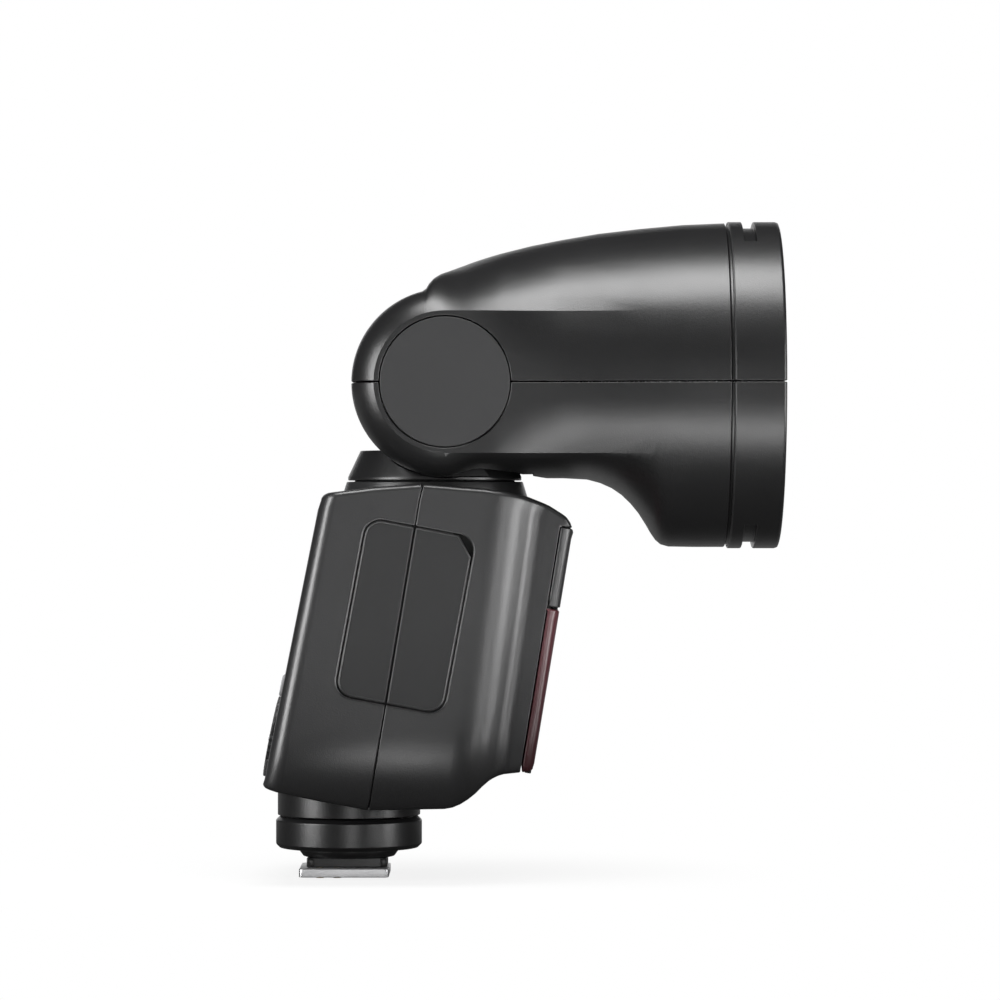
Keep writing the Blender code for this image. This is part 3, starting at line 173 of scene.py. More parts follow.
class Paint:
    """A material and its Principled shader."""

    def __init__(self, name):
        self.material = bpy.data.materials.new(name)
        self.material.use_nodes = True
        self.tree = self.material.node_tree
        self.shader = self.tree.nodes["Principled BSDF"]

    def node(self, kind, settings, sockets):
        """Add a node; returns its outputs, each as a Wire."""
        made = self.tree.nodes.new("ShaderNode" + kind)
        for name, value in settings.items():
            setattr(made, name, value)
        for name, value in sockets.items():
            self.feed(made.inputs[name], value)
        return [Wire(self, out) for out in made.outputs]

    def feed(self, socket, value):
        if isinstance(value, Wire):
            self.tree.links.new(value.out, socket)
        elif socket.type == "RGBA" and len(value) == 3:
            socket.default_value = (*value, 1.0)
        else:
            socket.default_value = value

    def set(self, **sockets):
        """Fill or link the shader's own sockets: Base_Color stands for Base Color."""
        for name, value in sockets.items():
            self.feed(self.shader.inputs[name.replace("_", " ")], value)

    def place(self):
        """Where on the object a point is, in metres."""
        return self.node("TexCoord", {}, {})[OBJECT_PLACE]

    def face(self, on):
        """The same point as u, v and w of a face frame."""
        spot = self.node("Mapping", {"vector_type": "TEXTURE"}, {
            "Vector": self.place(), "Location": on.translation, "Rotation": on.to_euler()})[0]
        return self.node("SeparateXYZ", {}, {0: spot})

    def noise(self, size, detail=2.0):
        """Cloudy values from 0 to 1 whose clouds are about size across."""
        return self.node("TexNoise", {}, {"Vector": self.place(), "Scale": 1 / size, "Detail": detail})[0]

    def ramp(self, value, low, high):
        """0 below low, 1 above high, and smooth between them."""
        return self.node("MapRange", {"interpolation_type": "SMOOTHSTEP"}, {
            "Value": value, "From Min": low, "From Max": high, "To Min": 0.0, "To Max": 1.0})[0]

    def mix(self, share, one, two):
        """A colour between one and two."""
        return self.node("Mix", {"data_type": "RGBA"}, {0: share, MIX_ONE: one, MIX_TWO: two})[MIX_COLOUR]

    def bump(self, height, distance, strength=1.0):
        return self.node("Bump", {}, {"Height": height, "Distance": distance, "Strength": strength})[0]


print("paints ready")

# %% [markdown]
# ## Moulded black plastic
#
# The shells have the fine even grain of a moulding tool whose steel was spark-eroded. The grain is only a few
# hundredths of a millimetre deep, but it breaks every highlight into a soft sparkle. Noise in a Bump node
# makes it, and the roughness and the colour wander a little with it. The base is very dark: nearly all that
# the eye sees on black plastic is the reflection of lamps, so the shine of the shells is set rather high.

# %% Plastics
CLOUD = 14 * MM
FINE_DETAIL = 3.0
BLUISH = 1.03


def grey(level):
    """A grey that leans a little to blue."""
    return level, level, BLUISH * level


def moulded(name, dark, light, rough, grain=0.28 * MM, depth=0.026 * MM, shine=0.5):
    """Fine-grained plastic that wanders between two close greys."""
    paint = Paint(name)
    fine = paint.noise(grain, FINE_DETAIL)
    broad = paint.noise(CLOUD)
    paint.set(
        Base_Color=paint.mix(broad * 0.6 + fine * 0.4, grey(dark), grey(light)),
        Roughness=rough + (fine - 0.5) * 0.16 + (broad - 0.5) * 0.06,
        Normal=paint.bump(fine, depth),
        Specular_IOR_Level=shine,
    )
    return paint.material


shell_black = moulded("shell_black", 0.006, 0.009, 0.33, shine=0.58)
body_black = moulded("body_black", 0.011, 0.016, 0.34, shine=0.75)
cap_black = moulded("cap_black", 0.018, 0.024, 0.50, 0.22 * MM, 0.008 * MM)
panel_black = moulded("panel_black", 0.008, 0.012, 0.46, 0.22 * MM, 0.010 * MM)
key_black = moulded("key_black", 0.020, 0.028, 0.50, 0.20 * MM, 0.006 * MM)
key_grey = moulded("key_grey", 0.26, 0.32, 0.60, 0.20 * MM, 0.006 * MM)
inner_black = moulded("inner_black", 0.045, 0.065, 0.60)
print_white = moulded("print_white", 0.58, 0.66, 0.55, 0.15 * MM, 0.003 * MM)
gasket_black = moulded("gasket_black", 0.006, 0.009, 0.80, shine=0.3)
print("plastics ready")

# %% [markdown]
# ## Metals
#
# The shoe plate is bare pressed steel, and its cut edge is a bright sparkling grain. The reflector is
# polished, the contacts are plated. One recipe does for all of them: a metallic base, and noise in the
# roughness.

# %% Metals
TARNISH = 0.86


def metal(name, colour, rough, grain, depth):
    """Bare metal that wanders between a colour and a slightly darker one."""
    paint = Paint(name)
    fine = paint.noise(grain, FINE_DETAIL)
    paint.set(
        Base_Color=paint.mix(fine, tuple(TARNISH * k for k in colour), colour),
        Roughness=rough + (fine - 0.5) * 0.2,
        Normal=paint.bump(fine, depth),
        Metallic=1.0,
    )
    return paint.material


shoe_steel = metal("shoe_steel", (0.80, 0.80, 0.81), 0.46, 0.25 * MM, 0.03 * MM)
bright_steel = metal("bright_steel", (0.62, 0.62, 0.63), 0.26, 0.5 * MM, 0.004 * MM)
contact_brass = metal("contact_brass", (0.78, 0.58, 0.26), 0.28, 0.4 * MM, 0.004 * MM)
reflector_silver = metal("reflector_silver", (0.88, 0.88, 0.89), 0.12, 0.8 * MM, 0.01 * MM)
print("metals ready")

# %% [markdown]
# ## Window, screen and board
#
# The window on the nose is dark red and smooth, and passes only the deep red light that helps a camera focus;
# its colour carries painted shade, darker towards its lower end and paler at its top. The screen is one
# smoked pane with a paler display behind its middle, so a mask on the rear face's u and v tells the display
# from the border.

# %% Window
WINDOW_DARK, WINDOW_PALE = -30 * MM, 4 * MM


def window_paint():
    paint = Paint("window_red")
    v = paint.face(NOSE)[1]
    broad = paint.noise(9 * MM)
    low_end, high_end = (0.030, 0.005, 0.007), (0.085, 0.022, 0.027)
    # painted shade: the red darkens from the top of the window towards its lower end
    painted_shade_red = paint.mix(paint.ramp(v, WINDOW_DARK, WINDOW_PALE), low_end, high_end)
    paint.set(
        Base_Color=paint.mix(broad * 0.3, painted_shade_red, (0.05, 0.010, 0.013)),
        Roughness=0.34 + (broad - 0.5) * 0.06,
        Coat_Weight=0.3,
        Coat_Roughness=0.22,
    )
    return paint.material


window_red = window_paint()
print("window ready")

# %% Screen and board
DISPLAY_V = 14.5 * MM
DISPLAY_HALF_W, DISPLAY_HALF_H = 20.2 * MM, 11.2 * MM
TRACK_PITCH = 2.2 * MM


def screen_paint():
    paint = Paint("screen_smoke")
    u, v = paint.face(REAR)[:2]
    broad = paint.noise(11 * MM)
    shown = (abs(u) < DISPLAY_HALF_W) * (abs(v - DISPLAY_V) < DISPLAY_HALF_H)
    display = paint.mix(broad, (0.036, 0.042, 0.040), (0.042, 0.049, 0.046))
    paint.set(
        Base_Color=paint.mix(shown, (0.006, 0.006, 0.007), display),
        Roughness=0.10 + broad * 0.04,
        Coat_Weight=0.5,
        Coat_Roughness=0.05,
    )
    return paint.material


def board_paint():
    paint = Paint("board_green")
    tracks = paint.node("TexVoronoi", {"distance": "MANHATTAN"}, {
        "Vector": paint.place(), "Scale": 1 / TRACK_PITCH})[0]
    paint.set(
        Base_Color=paint.mix(paint.ramp(tracks, 0.3, 0.5), (0.014, 0.085, 0.036), (0.010, 0.055, 0.025)),
        Roughness=0.36 + paint.noise(1.5 * MM) * 0.1,
    )
    return paint.material


screen_smoke, board_green = screen_paint(), board_paint()
print("screen and board ready")

# %% [markdown]
# ## Clear lens, tube and lamp
#
# The round lens is thin clear plastic whose inside is cut into fine rings, as in a lighthouse. Rings of a
# Wave texture round the head's axis stand for the cuts; at a scale of 1 the texture turns 20 radians in a
# metre. The flash tube is plain glass. The modelling lamp is a small yellow light-emitting square in a pale
# frame, and a mask by distance from its middle paints both.

# %% Clear pieces
HEAD_UP = 114.0 * MM
WAVE_TURN = 20.0
LENS_CUTS = 1.1 * MM
LED_EDGE, LED_FRAME = 2.4 * MM, 2.8 * MM


def clear(name, colour, rough, rings=None):
    """See-through plastic or glass; rings is the spacing of a lens's cuts."""
    paint = Paint(name)
    wander = rough + paint.noise(5 * MM) * 0.05
    paint.set(Base_Color=colour, Transmission_Weight=1.0, IOR=1.45, Roughness=wander)
    if rings:
        spot = paint.node("Mapping", {}, {"Vector": paint.place(), "Location": (0, 0, -HEAD_UP)})[0]
        wave = paint.node("TexWave", {"wave_type": "RINGS", "rings_direction": "X", "wave_profile": "SAW"}, {
            "Vector": spot, "Scale": 2 * pi / WAVE_TURN / rings, "Distortion": 0.0})[1]
        paint.set(Normal=paint.bump(wave, 0.25 * MM, 0.7))
    return paint.material


def led_paint():
    paint = Paint("led_yellow")
    low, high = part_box("modelling_lamp")
    middle = (Vector(low) + Vector(high)) / 2
    off = paint.node("VectorMath", {"operation": "DISTANCE"}, {0: paint.place(), 1: middle})[1]
    paint.set(
        Base_Color=paint.mix(paint.ramp(off, LED_EDGE, LED_FRAME), (0.78, 0.60, 0.12), (0.62, 0.62, 0.60)),
        Roughness=0.35 + paint.noise(1 * MM) * 0.1,
    )
    return paint.material


lens_clear = clear("lens_clear", (0.93, 0.95, 0.95), 0.07, LENS_CUTS)
lamp_clear = clear("lamp_clear", (0.95, 0.95, 0.95), 0.05)
tube_glass = clear("tube_glass", (0.96, 0.95, 0.90), 0.10)
led_yellow = led_paint()
print("clear pieces ready")

# %% [markdown]
# ## Dressing the solids
#
# The solids arrive as triangles with knife-sharp edges. A moulded part has a small round on every edge, and
# that round catches the light. So each visible solid is copied, its points are merged, flat triangles are
# joined into larger faces, a Bevel modifier rounds the edges, and the faces are shaded smooth. The shoe plate
# keeps its triangles, because one large face with holes in it would show a line between them.
#
# The head has a flat side whose outline fades out towards the front; those edges are too flat for the angle
# to find them, so they are picked by their place and marked sharp.


# %% Dressing helpers
def only(piece):
    """Select one object, and nothing else."""
    bpy.ops.object.select_all(action="DESELECT")
    piece.select_set(True)
    bpy.context.view_layer.objects.active = piece


def pick(test, kind="FACE"):
    """In edit mode, select only the faces or edges whose middle and direction pass a test."""
    bpy.ops.mesh.select_mode(type=kind)
    bpy.ops.mesh.select_all(action="DESELECT")
    bpy.ops.object.mode_set(mode="OBJECT")
    mesh = bpy.context.object.data
    if kind == "FACE":
        for face in mesh.polygons:
            face.select = test(face.center, face.normal)
    else:
        for edge in mesh.edges:
            one, two = (mesh.vertices[k].co for k in edge.vertices)
            edge.select = test((one + two) / 2, (two - one).normalized())
    bpy.ops.object.mode_set(mode="EDIT")


def modify(piece, kind, **settings):
    """Add a modifier to the active object and apply it at once."""
    modifier = piece.modifiers.new(kind, kind)
    for name, value in settings.items():
        setattr(modifier, name, value)
    bpy.ops.object.modifier_apply(modifier=modifier.name)


def coat(piece, material):
    """Give a piece one material, and no other."""
    piece.data.materials.clear()
    piece.data.materials.append(material)


BODY_OF = {node: body for body, nodes in frame["record"]["behaviour"]["bodies"].items() for node in nodes}

# %% Dressing
SAME_POINT = 0.002 * MM
FLAT_UNDER = radians(0.4)
SMOOTH_UNDER = 38


def dress(node, finish, edge=0.18 * MM, segments=2, sharp=SMOOTH_UNDER, crisp=None, merge=True):
    """A smooth, round-edged copy of a solid.

    Edges over sharp degrees are rounded, those that pass the crisp test stay hard, and merge joins flat
    faces.
    """
    piece = bpy.data.objects.new(node + "_skin", NODES[node].data.copy())
    bpy.context.scene.collection.objects.link(piece)
    only(piece)
    bpy.ops.object.mode_set(mode="EDIT")
    bpy.ops.mesh.select_all(action="SELECT")
    bpy.ops.mesh.remove_doubles(threshold=SAME_POINT)
    if merge:
        bpy.ops.mesh.dissolve_limited(angle_limit=FLAT_UNDER)
    bpy.ops.object.mode_set(mode="OBJECT")
    modify(piece, "BEVEL", width=edge, segments=segments, limit_method="ANGLE", angle_limit=radians(sharp),
           use_clamp_overlap=False)
    if crisp:
        bpy.ops.object.mode_set(mode="EDIT")
        pick(crisp, "EDGE")
        bpy.ops.mesh.mark_sharp()
        bpy.ops.object.mode_set(mode="OBJECT")
    bpy.ops.object.shade_smooth_by_angle(angle=radians(SMOOTH_UNDER))
    modify(piece, "WEIGHTED_NORMAL", keep_sharp=True)
    coat(piece, finish)
    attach(piece, BODY_OF[node])
    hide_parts(node)


print("edges over", SMOOTH_UNDER, "degrees get a round")

# %% Outline of the head's flat sides
PIVOT = Vector((22.75, 0, 114.0)) * MM
FLAT_R = 16.1 * MM
HEAD_SIDE = 33.0 * MM
CRISP_TOP, CRISP_LOW = 66.0 * MM, 60.0 * MM
NEAR_ARC, NEAR_LINE, NEAR_SIDE = 0.15 * MM, 0.2 * MM, 0.05 * MM
ALONG = 0.9


def on_flat_edge(spot, way):
    """Whether an edge outlines a flat side: half a circle about the pivot, then two straight lines."""
    off = spot - PIVOT
    if off.x < 0:
        return abs(hypot(off.x, off.z) - FLAT_R) < NEAR_ARC and abs(off.y) > HEAD_SIDE - NEAR_SIDE
    on_line = abs(abs(off.z) - FLAT_R) < NEAR_LINE and abs(off.y) > 0.9 * HEAD_SIDE and abs(way.x) > ALONG
    return on_line and spot.x < (CRISP_TOP if off.z > 0 else CRISP_LOW)


print("flat sides are crisp up to", round(CRISP_TOP / MM), "and", round(CRISP_LOW / MM), "mm")

# %% Dress the shells
for node in ("head_upper_shell", "head_lower_shell"):
    dress(node, shell_black, 0.2 * MM, 2, 55, on_flat_edge)
for node in ("turret", "lens_ring", "foot_base", "lock_ring", "shoe_block"):
    dress(node, shell_black)
for node in ("body_collar", "body_rear_shell", "body_front_shell", "front_cover"):
    dress(node, body_black, 0.22 * MM)
for node in ("side_panel_front", "side_panel_rear", "battery_pack"):
    dress(node, panel_black, 0.5 * MM, 3)
for node in ("hinge_cap_right", "hinge_cap_left"):
    dress(node, cap_black)
for node in ("mode_button", "test_button", "menu_button", "power_switch", "select_dial"):
    dress(node, key_black)
for node in (*(f"function_button_{k}" for k in range(1, 5)), "set_button", "battery_latch"):
    dress(node, key_grey, 0.3 * MM, 3)
dress("red_window", window_red, 0.5 * MM, 4)
dress("screen_window", screen_smoke)
dress("shoe_plate", shoe_steel, 0.2 * MM, 2, merge=False)
print("shells dressed")

# %% Finish the inner solids
INNER = (
    (inner_black, ("battery_bay", "screen_module", "main_capacitor", "lamp_frame", "zoom_carriage",
                   "zoom_motor")),
    (board_green, ("key_board", "main_board")),
    (bright_steel, ("lock_pin", "tilt_axle", "pan_retainer", "guide_rod_right", "guide_rod_left",
                    "lead_screw")),
    (contact_brass, ("battery_terminal", *(f"shoe_contact_{k}" for k in range(1, 6)))),
    (reflector_silver, ("reflector",)),
    (tube_glass, ("flash_tube",)),
    (lens_clear, ("front_lens",)),
    (lamp_clear, ("assist_lamp",)),
    (led_yellow, ("modelling_lamp",)),
)
for material, nodes in INNER:
    for node in nodes:
        coat(NODES[node], material)
print("inner solids finished", sum(len(nodes) for material, nodes in INNER))

# %% [markdown]
# ## Helpers for new pieces
#
# The small pieces are modelled as by hand: a primitive, a few edit-mode steps on faces or edges picked by
# their place, and then one move into the frame of the face that carries them. Applying that move leaves the
# object at the origin with its place in its mesh, like the solids.

# %% Modelling helpers
PIECE_SMOOTH = radians(35)


def deselect():
    """Select nothing, so that the next steps touch only the new primitive."""
    bpy.ops.object.select_all(action="DESELECT")


def extrude(by):
    """In edit mode, extrude what is selected along a vector."""
    bpy.ops.mesh.extrude_region_move(TRANSFORM_OT_translate={"value": by})


def face_out():
    """In edit mode, turn every face outwards."""
    bpy.ops.mesh.select_all(action="SELECT")
    bpy.ops.mesh.normals_make_consistent(inside=False)


def settle(name, at, body, material):
    """Move the active object into a frame for good, name it, and hang it on a body."""
    bpy.ops.object.mode_set(mode="OBJECT")
    piece = bpy.context.object
    only(piece)
    piece.name = name
    piece.matrix_world = at @ piece.matrix_world
    bpy.ops.object.transform_apply(location=True, rotation=True, scale=True)
    bpy.ops.object.shade_smooth_by_angle(angle=PIECE_SMOOTH)
    coat(piece, material)
    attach(piece, body)
    return piece


def block(size, edge, segments=2, upright=False):
    """A round-edged block on the origin, left in edit mode; upright rounds only its four upright edges."""
    deselect()
    bpy.ops.mesh.primitive_cube_add(size=1, scale=size)
    bpy.ops.object.transform_apply(scale=True)
    bpy.ops.object.mode_set(mode="EDIT")
    pick(lambda spot, way: abs(way.z) > ALONG or not upright, "EDGE")
    bpy.ops.mesh.bevel(offset=edge, segments=segments, affect="EDGES")


def box_in_mm(piece):
    """A piece's lowest and highest corners, to print."""
    return [[round(k / MM, 2) for k in piece.bound_box[corner]] for corner in (0, 6)]


print("modelling helpers ready")

# %% [markdown]
# ## The tongue along the body's seam
#
# Moulded shells seldom just meet edge to edge: one carries a thin tongue that runs in a groove of the other
# and keeps light and dust out of the seam. Without it a bright line would show right through the body. A
# small square is extruded step by step along the seam, inside the wall. On the battery's side it stops short
# of the opening.

# %% Seam
SEAM_X, SEAM_Z, SEAM_SLOPE = 5.3, 16.6, 0.1653
BODY_SIDE = 31.5
NARROW_FROM, NARROW_TALL, NARROW_BY = 34.0, 19.5, 11.0
TONGUE_DEEP, TONGUE_WIDE = 1.7, 1.5


def seam_spot(z, side):
    """A point inside the wall on the seam at height z in mm; the body narrows in an arc near its foot."""
    drop = min(1, max(0, (NARROW_FROM - z) / NARROW_TALL))
    narrow = 1 - NARROW_BY / BODY_SIDE * (1 - sqrt(1 - drop * drop))
    x = SEAM_X + (z - SEAM_Z) * SEAM_SLOPE
    return Vector((x, side * (BODY_SIDE * narrow - TONGUE_DEEP), z)) * MM


print("seam at the foot", [round(k / MM, 2) for k in seam_spot(SEAM_Z, 1)])


# %% Seam tongues
def tongue(name, side, low, high, steps):
    """A thin strip along the seam between two heights in mm."""
    deselect()
    bpy.ops.mesh.primitive_plane_add(size=TONGUE_WIDE * MM, location=seam_spot(low, side))
    bpy.ops.object.transform_apply(location=True)
    bpy.ops.object.mode_set(mode="EDIT")
    last = seam_spot(low, side)
    for k in range(steps):
        spot = seam_spot(low + (high - low) * (k + 1) / steps, side)
        extrude(spot - last)
        last = spot
    face_out()
    settle(name, Matrix(), "body", gasket_black)


TONGUE_LOW, TONGUE_HIGH = 18.5, 89.0
BATTERY_LOW, BATTERY_HIGH = 39.0, 83.5
tongue("seam_tongue_right", -1, TONGUE_LOW, TONGUE_HIGH, 14)
tongue("seam_tongue_left_low", 1, TONGUE_LOW, BATTERY_LOW, 6)
tongue("seam_tongue_left_top", 1, BATTERY_HIGH, TONGUE_HIGH, 2)
print("seam tongues laid")

# %% [markdown]
# ## Gaskets in the nose
#
# The cover and the red window lie in one shallow pocket of the nose. A soft black strip fills each joint
# across it: above the cover, between cover and window, and below the window.

# %% Nose gaskets
GASKET_TALL, GASKET_THICK, GASKET_W = 0.9, 1.5, -1.15
GASKETS = (("gasket_top", 80.7, 24.2), ("gasket_mid", 62.7, 24.2), ("gasket_low", 25.2, 22.6))
for name, height, half in GASKETS:
    block((2 * half * MM, GASKET_TALL * MM, GASKET_THICK * MM), 0.2 * MM)
    v = (height - DATUM) / NOSE.col[1].z
    settle(name, on_face(NOSE, 0, v, GASKET_W), "body", gasket_black)
print("gaskets laid")

# %% [markdown]
# ## The round of the cheeks
#
# Behind the hinge cap the head's cheek is rounded all the way round the pivot, and the lamp on the left draws
# a clean crescent on it. The solid's faces are too coarse for that reflection. A circle of the same radius as
# the round is trimmed to an arc and spun about the pivot, which makes the true surface, a hair above the
# solid. It is cut off at the head's seam, and in front at the pivot or a little behind it.

# %% Cheek rounds
CHEEK_R = 21.4 * MM
TILT = radians(29)
ROUND_R = (CHEEK_R - FLAT_R) / (1 - sin(TILT))
ROUND_OUT = HEAD_SIDE - ROUND_R * cos(TILT)
CIRCLE_TURN = radians(1)
HAIR = 0.02 * MM
SEAM_CLEAR = 0.35 * MM
CHEEK_WALL = 0.25 * MM


def keep_side(at, out, clear_inner=False):
    """In edit mode, cut along a plane and keep what lies behind it; clear_inner keeps the front instead."""
    bpy.ops.mesh.select_all(action="SELECT")
    bpy.ops.mesh.bisect(plane_co=at, plane_no=out, clear_inner=clear_inner, clear_outer=not clear_inner)


def cheek(name, side, lift, front):
    """A quarter of the round on one side, above or below the seam, up to the place front along the head."""
    deselect()
    bpy.ops.mesh.primitive_circle_add(
        vertices=120, radius=ROUND_R + HAIR, rotation=(0, 0, -side * CIRCLE_TURN),
        location=(PIVOT.x - CHEEK_R + ROUND_R, side * ROUND_OUT, PIVOT.z))
    bpy.ops.object.transform_apply(location=True, rotation=True)
    bpy.ops.object.mode_set(mode="EDIT")
    pick(lambda spot, way: side * spot.y < ROUND_OUT or PIVOT.x - spot.x < FLAT_R, "EDGE")
    bpy.ops.mesh.delete(type="EDGE")
    bpy.ops.mesh.select_all(action="SELECT")
    bpy.ops.mesh.spin(steps=36, angle=-lift * pi / 2, center=PIVOT, axis=(0, 1, 0))
    keep_side(PIVOT + Vector((0, 0, lift * SEAM_CLEAR)), (0, 0, lift), True)
    keep_side((front, 0, 0), (1, 0, 0))
    face_out()
    bpy.ops.object.mode_set(mode="OBJECT")
    piece = bpy.context.object
    if side * piece.data.polygons[0].normal.y < 0:
        piece.data.flip_normals()
    modify(piece, "SOLIDIFY", thickness=CHEEK_WALL, offset=-1)
    settle(name, Matrix(), "head", shell_black)
    print(name, box_in_mm(piece))


for level, lift, front in (("top", 1, 18.1 * MM), ("low", -1, 22.7 * MM)):
    for hand, side in (("right", -1), ("left", 1)):
        cheek(f"cheek_{hand}_{level}", side, lift, front)

# %% [markdown]
# ## The bead in the front ring's groove
#
# A thin bead lies in the groove between the shells and the front ring and shows as a light line right round
# the head. A small circle is spun about the head's axis, once over the top and once below, and stops at the
# seam.

# %% Ring beads
GROOVE_X = 88.3 * MM
BEAD_R = 0.26 * MM
GROOVE_R = 38.0 * MM - BEAD_R
STOP = radians(0.5)
for name, lift in (("ring_bead_top", 1), ("ring_bead_low", -1)):
    deselect()
    bpy.ops.mesh.primitive_circle_add(
        vertices=10, radius=BEAD_R, fill_type="NGON",
        location=(GROOVE_X, -GROOVE_R * cos(STOP), HEAD_UP + lift * GROOVE_R * sin(STOP)))
    bpy.ops.object.transform_apply(location=True)
    bpy.ops.object.mode_set(mode="EDIT")
    bpy.ops.mesh.select_all(action="SELECT")
    bpy.ops.mesh.spin(steps=96, angle=lift * (pi - 2 * STOP), center=(0, 0, HEAD_UP), axis=(1, 0, 0))
    face_out()
    bead = settle(name, Matrix(), "head", body_black)
    print(name, box_in_mm(bead))

# %% [markdown]
# ## Beads round the side panel
#
# A fine raised bead runs along both sides of the groove round the panel, and its round back catches a thin
# line of light. A rounded rectangle is cut along the body's seam, so that each half gets its own bead. The
# outline without its face turns into a curve, and a curve can be given a round thickness. The upper front
# corner of the panel is clipped, and a dark finger hole shows there; the same rectangle, cut the other way,
# makes its dark floor.

# %% Panel outline
BODY_LEAN = radians(10.5)
PANEL_X, PANEL_Z = 13.7 * MM, 61.0 * MM


def body_side(side):
    """A frame on the middle of the right (-1) or left (1) side: u along the body, v up it, w out of it."""
    along, up = cos(BODY_LEAN), sin(BODY_LEAN)
    turned = Matrix(((-side * along, up, 0), (0, 0, side), (side * up, along, 0)))
    return Matrix.Translation((PANEL_X, side * BODY_SIDE * MM, PANEL_Z)) @ turned.to_4x4()


RIGHT = body_side(-1)
PANEL_W, PANEL_H, PANEL_CORNER = 25.4 * MM, 41.2 * MM, 4.0 * MM
CUT_W, CUT_H = 4.4 * MM, 5.4 * MM
CLIP_AT = RIGHT @ Vector((PANEL_W / 2 - CUT_W, PANEL_H / 2, 0))
CLIP_OUT = RIGHT.to_3x3() @ Vector((CUT_H, CUT_W, 0)).normalized()
SEAM_AT = Vector((SEAM_X, 0, SEAM_Z)) * MM
SEAM_OUT = Vector((1, 0, -SEAM_SLOPE)).normalized()


def panel_sheet(grow, depth):
    """A flat rounded rectangle a little larger than the panel, on the body's side and left in edit mode."""
    deselect()
    bpy.ops.mesh.primitive_plane_add(size=1)
    sheet = bpy.context.object
    sheet.scale = (PANEL_W + 2 * grow, PANEL_H + 2 * grow, 1)
    bpy.ops.object.transform_apply(scale=True)
    bpy.ops.object.mode_set(mode="EDIT")
    bpy.ops.mesh.select_all(action="SELECT")
    bpy.ops.mesh.bevel(offset=PANEL_CORNER + grow, segments=8, affect="VERTICES")
    bpy.ops.object.mode_set(mode="OBJECT")
    sheet.matrix_world = RIGHT @ Matrix.Translation((0, 0, depth))
    bpy.ops.object.transform_apply(location=True, rotation=True)
    bpy.ops.object.mode_set(mode="EDIT")


print("panel corner clipped at", [round(k / MM, 2) for k in CLIP_AT])

# %% Panel beads
PANEL_BEAD_R = 0.22 * MM
PANEL_BEAD_SUNK = -0.06 * MM
SEAM_HALF, SEAM_NEAR = 0.32 * MM, 0.4 * MM
for name, grow, clipped in (("bead_body", 0.16 * MM, False), ("bead_panel", -0.66 * MM, True)):
    for part, sign in (("front", 1), ("rear", -1)):
        panel_sheet(grow, PANEL_BEAD_SUNK)
        if clipped:
            keep_side(CLIP_AT - CLIP_OUT * PANEL_BEAD_R, CLIP_OUT)
        keep_side(SEAM_AT + SEAM_OUT * sign * SEAM_HALF, SEAM_OUT * sign, True)
        bpy.ops.mesh.delete(type="ONLY_FACE")
        pick(lambda spot, way: abs((spot - SEAM_AT).dot(SEAM_OUT)) < SEAM_NEAR, "EDGE")
        bpy.ops.mesh.delete(type="EDGE")
        bpy.ops.object.mode_set(mode="OBJECT")
        bpy.ops.object.convert(target="CURVE")
        line = bpy.context.object.data
        line.bevel_depth = PANEL_BEAD_R
        line.bevel_resolution = 2
        line.use_fill_caps = True
        bpy.ops.object.convert(target="MESH")
        settle(f"{name}_{part}", Matrix(), "body", body_black)
print("beads laid")

# %% Finger hole
HOLE_DEEP, HOLE_FLOOR, HOLE_LAP = 1.55 * MM, 0.25 * MM, 0.9 * MM
panel_sheet(-0.1 * MM, -HOLE_DEEP)
keep_side(CLIP_AT - CLIP_OUT * HOLE_LAP, CLIP_OUT, True)
bpy.ops.mesh.select_all(action="SELECT")
extrude((0, -HOLE_FLOOR, 0))
face_out()
settle("panel_finger_hole", Matrix(), "body", gasket_black)
print("finger hole darkened")

# %% [markdown]
# ## Ribs on the shoe block
#
# Under the lock ring a black block carries the steel foot. Two upright ribs stand on each of its long sides.
# The same small block with round edges is made for each of them.

# %% Shoe ribs
RIB_WIDE, RIB_DEEP, RIB_SHORT, RIB_OUT = 1.5 * MM, 1.0 * MM, 0.3 * MM, 0.05 * MM
block_low, block_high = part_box("shoe_block")
rib_tall = block_high.z - block_low.z - RIB_SHORT
for k, (x, side) in enumerate(((-8.8, -1), (8.2, -1), (-8.8, 1), (8.2, 1))):
    block((RIB_WIDE, RIB_DEEP, rib_tall), 0.25 * MM)
    spot = (x * MM, side * (block_high.y - RIB_OUT), (block_low.z + block_high.z) / 2)
    settle(f"shoe_rib_{k + 1}", Matrix.Translation(spot), "body", shell_black)
print("ribs on a block", round((block_high.z - block_low.z) / MM, 2), "mm tall")

# %% [markdown]
# ## Screws in the foot
#
# Four small screws hold the steel foot from below. A short cylinder gets an inset face, and that face is
# pushed in for the driver's socket. The head stands out by only a few hundredths of a millimetre.

# %% Foot screws
SCREW_R, SCREW_TALL, SCREW_Z = 1.05 * MM, 0.5 * MM, 0.2 * MM
SOCKET_IN, SOCKET_DEEP = 0.42 * MM, 0.35 * MM
for k, (x, y) in enumerate(((-9.4, -7.4), (-9.4, 7.4), (7.6, -7.4), (7.6, 7.4))):
    deselect()
    bpy.ops.mesh.primitive_cylinder_add(vertices=24, radius=SCREW_R, depth=SCREW_TALL)
    bpy.ops.object.mode_set(mode="EDIT")
    pick(lambda spot, way: way.z < -ALONG)
    bpy.ops.mesh.bevel(offset=0.08 * MM, segments=2, affect="EDGES")
    pick(lambda spot, way: way.z < -ALONG and spot.length < 0.6 * MM)
    bpy.ops.mesh.inset(thickness=SOCKET_IN, depth=0)
    extrude((0, 0, SOCKET_DEEP))
    at = Matrix.Translation((x * MM, y * MM, SCREW_Z))
    settle(f"foot_screw_{k + 1}", at, "body", bright_steel)
print("four screws set")

# %% [markdown]
# ## Marks on the keys
#
# The keys carry small printed marks. A print is a skin of ink, so each mark is a very thin bar, and it moves
# with its key. The four keys under the screen get one bar each, the menu key three lines, the mode key a ring
# of bars and the test key the usual small bolt. The rear face's frame gives their places in millimetres.

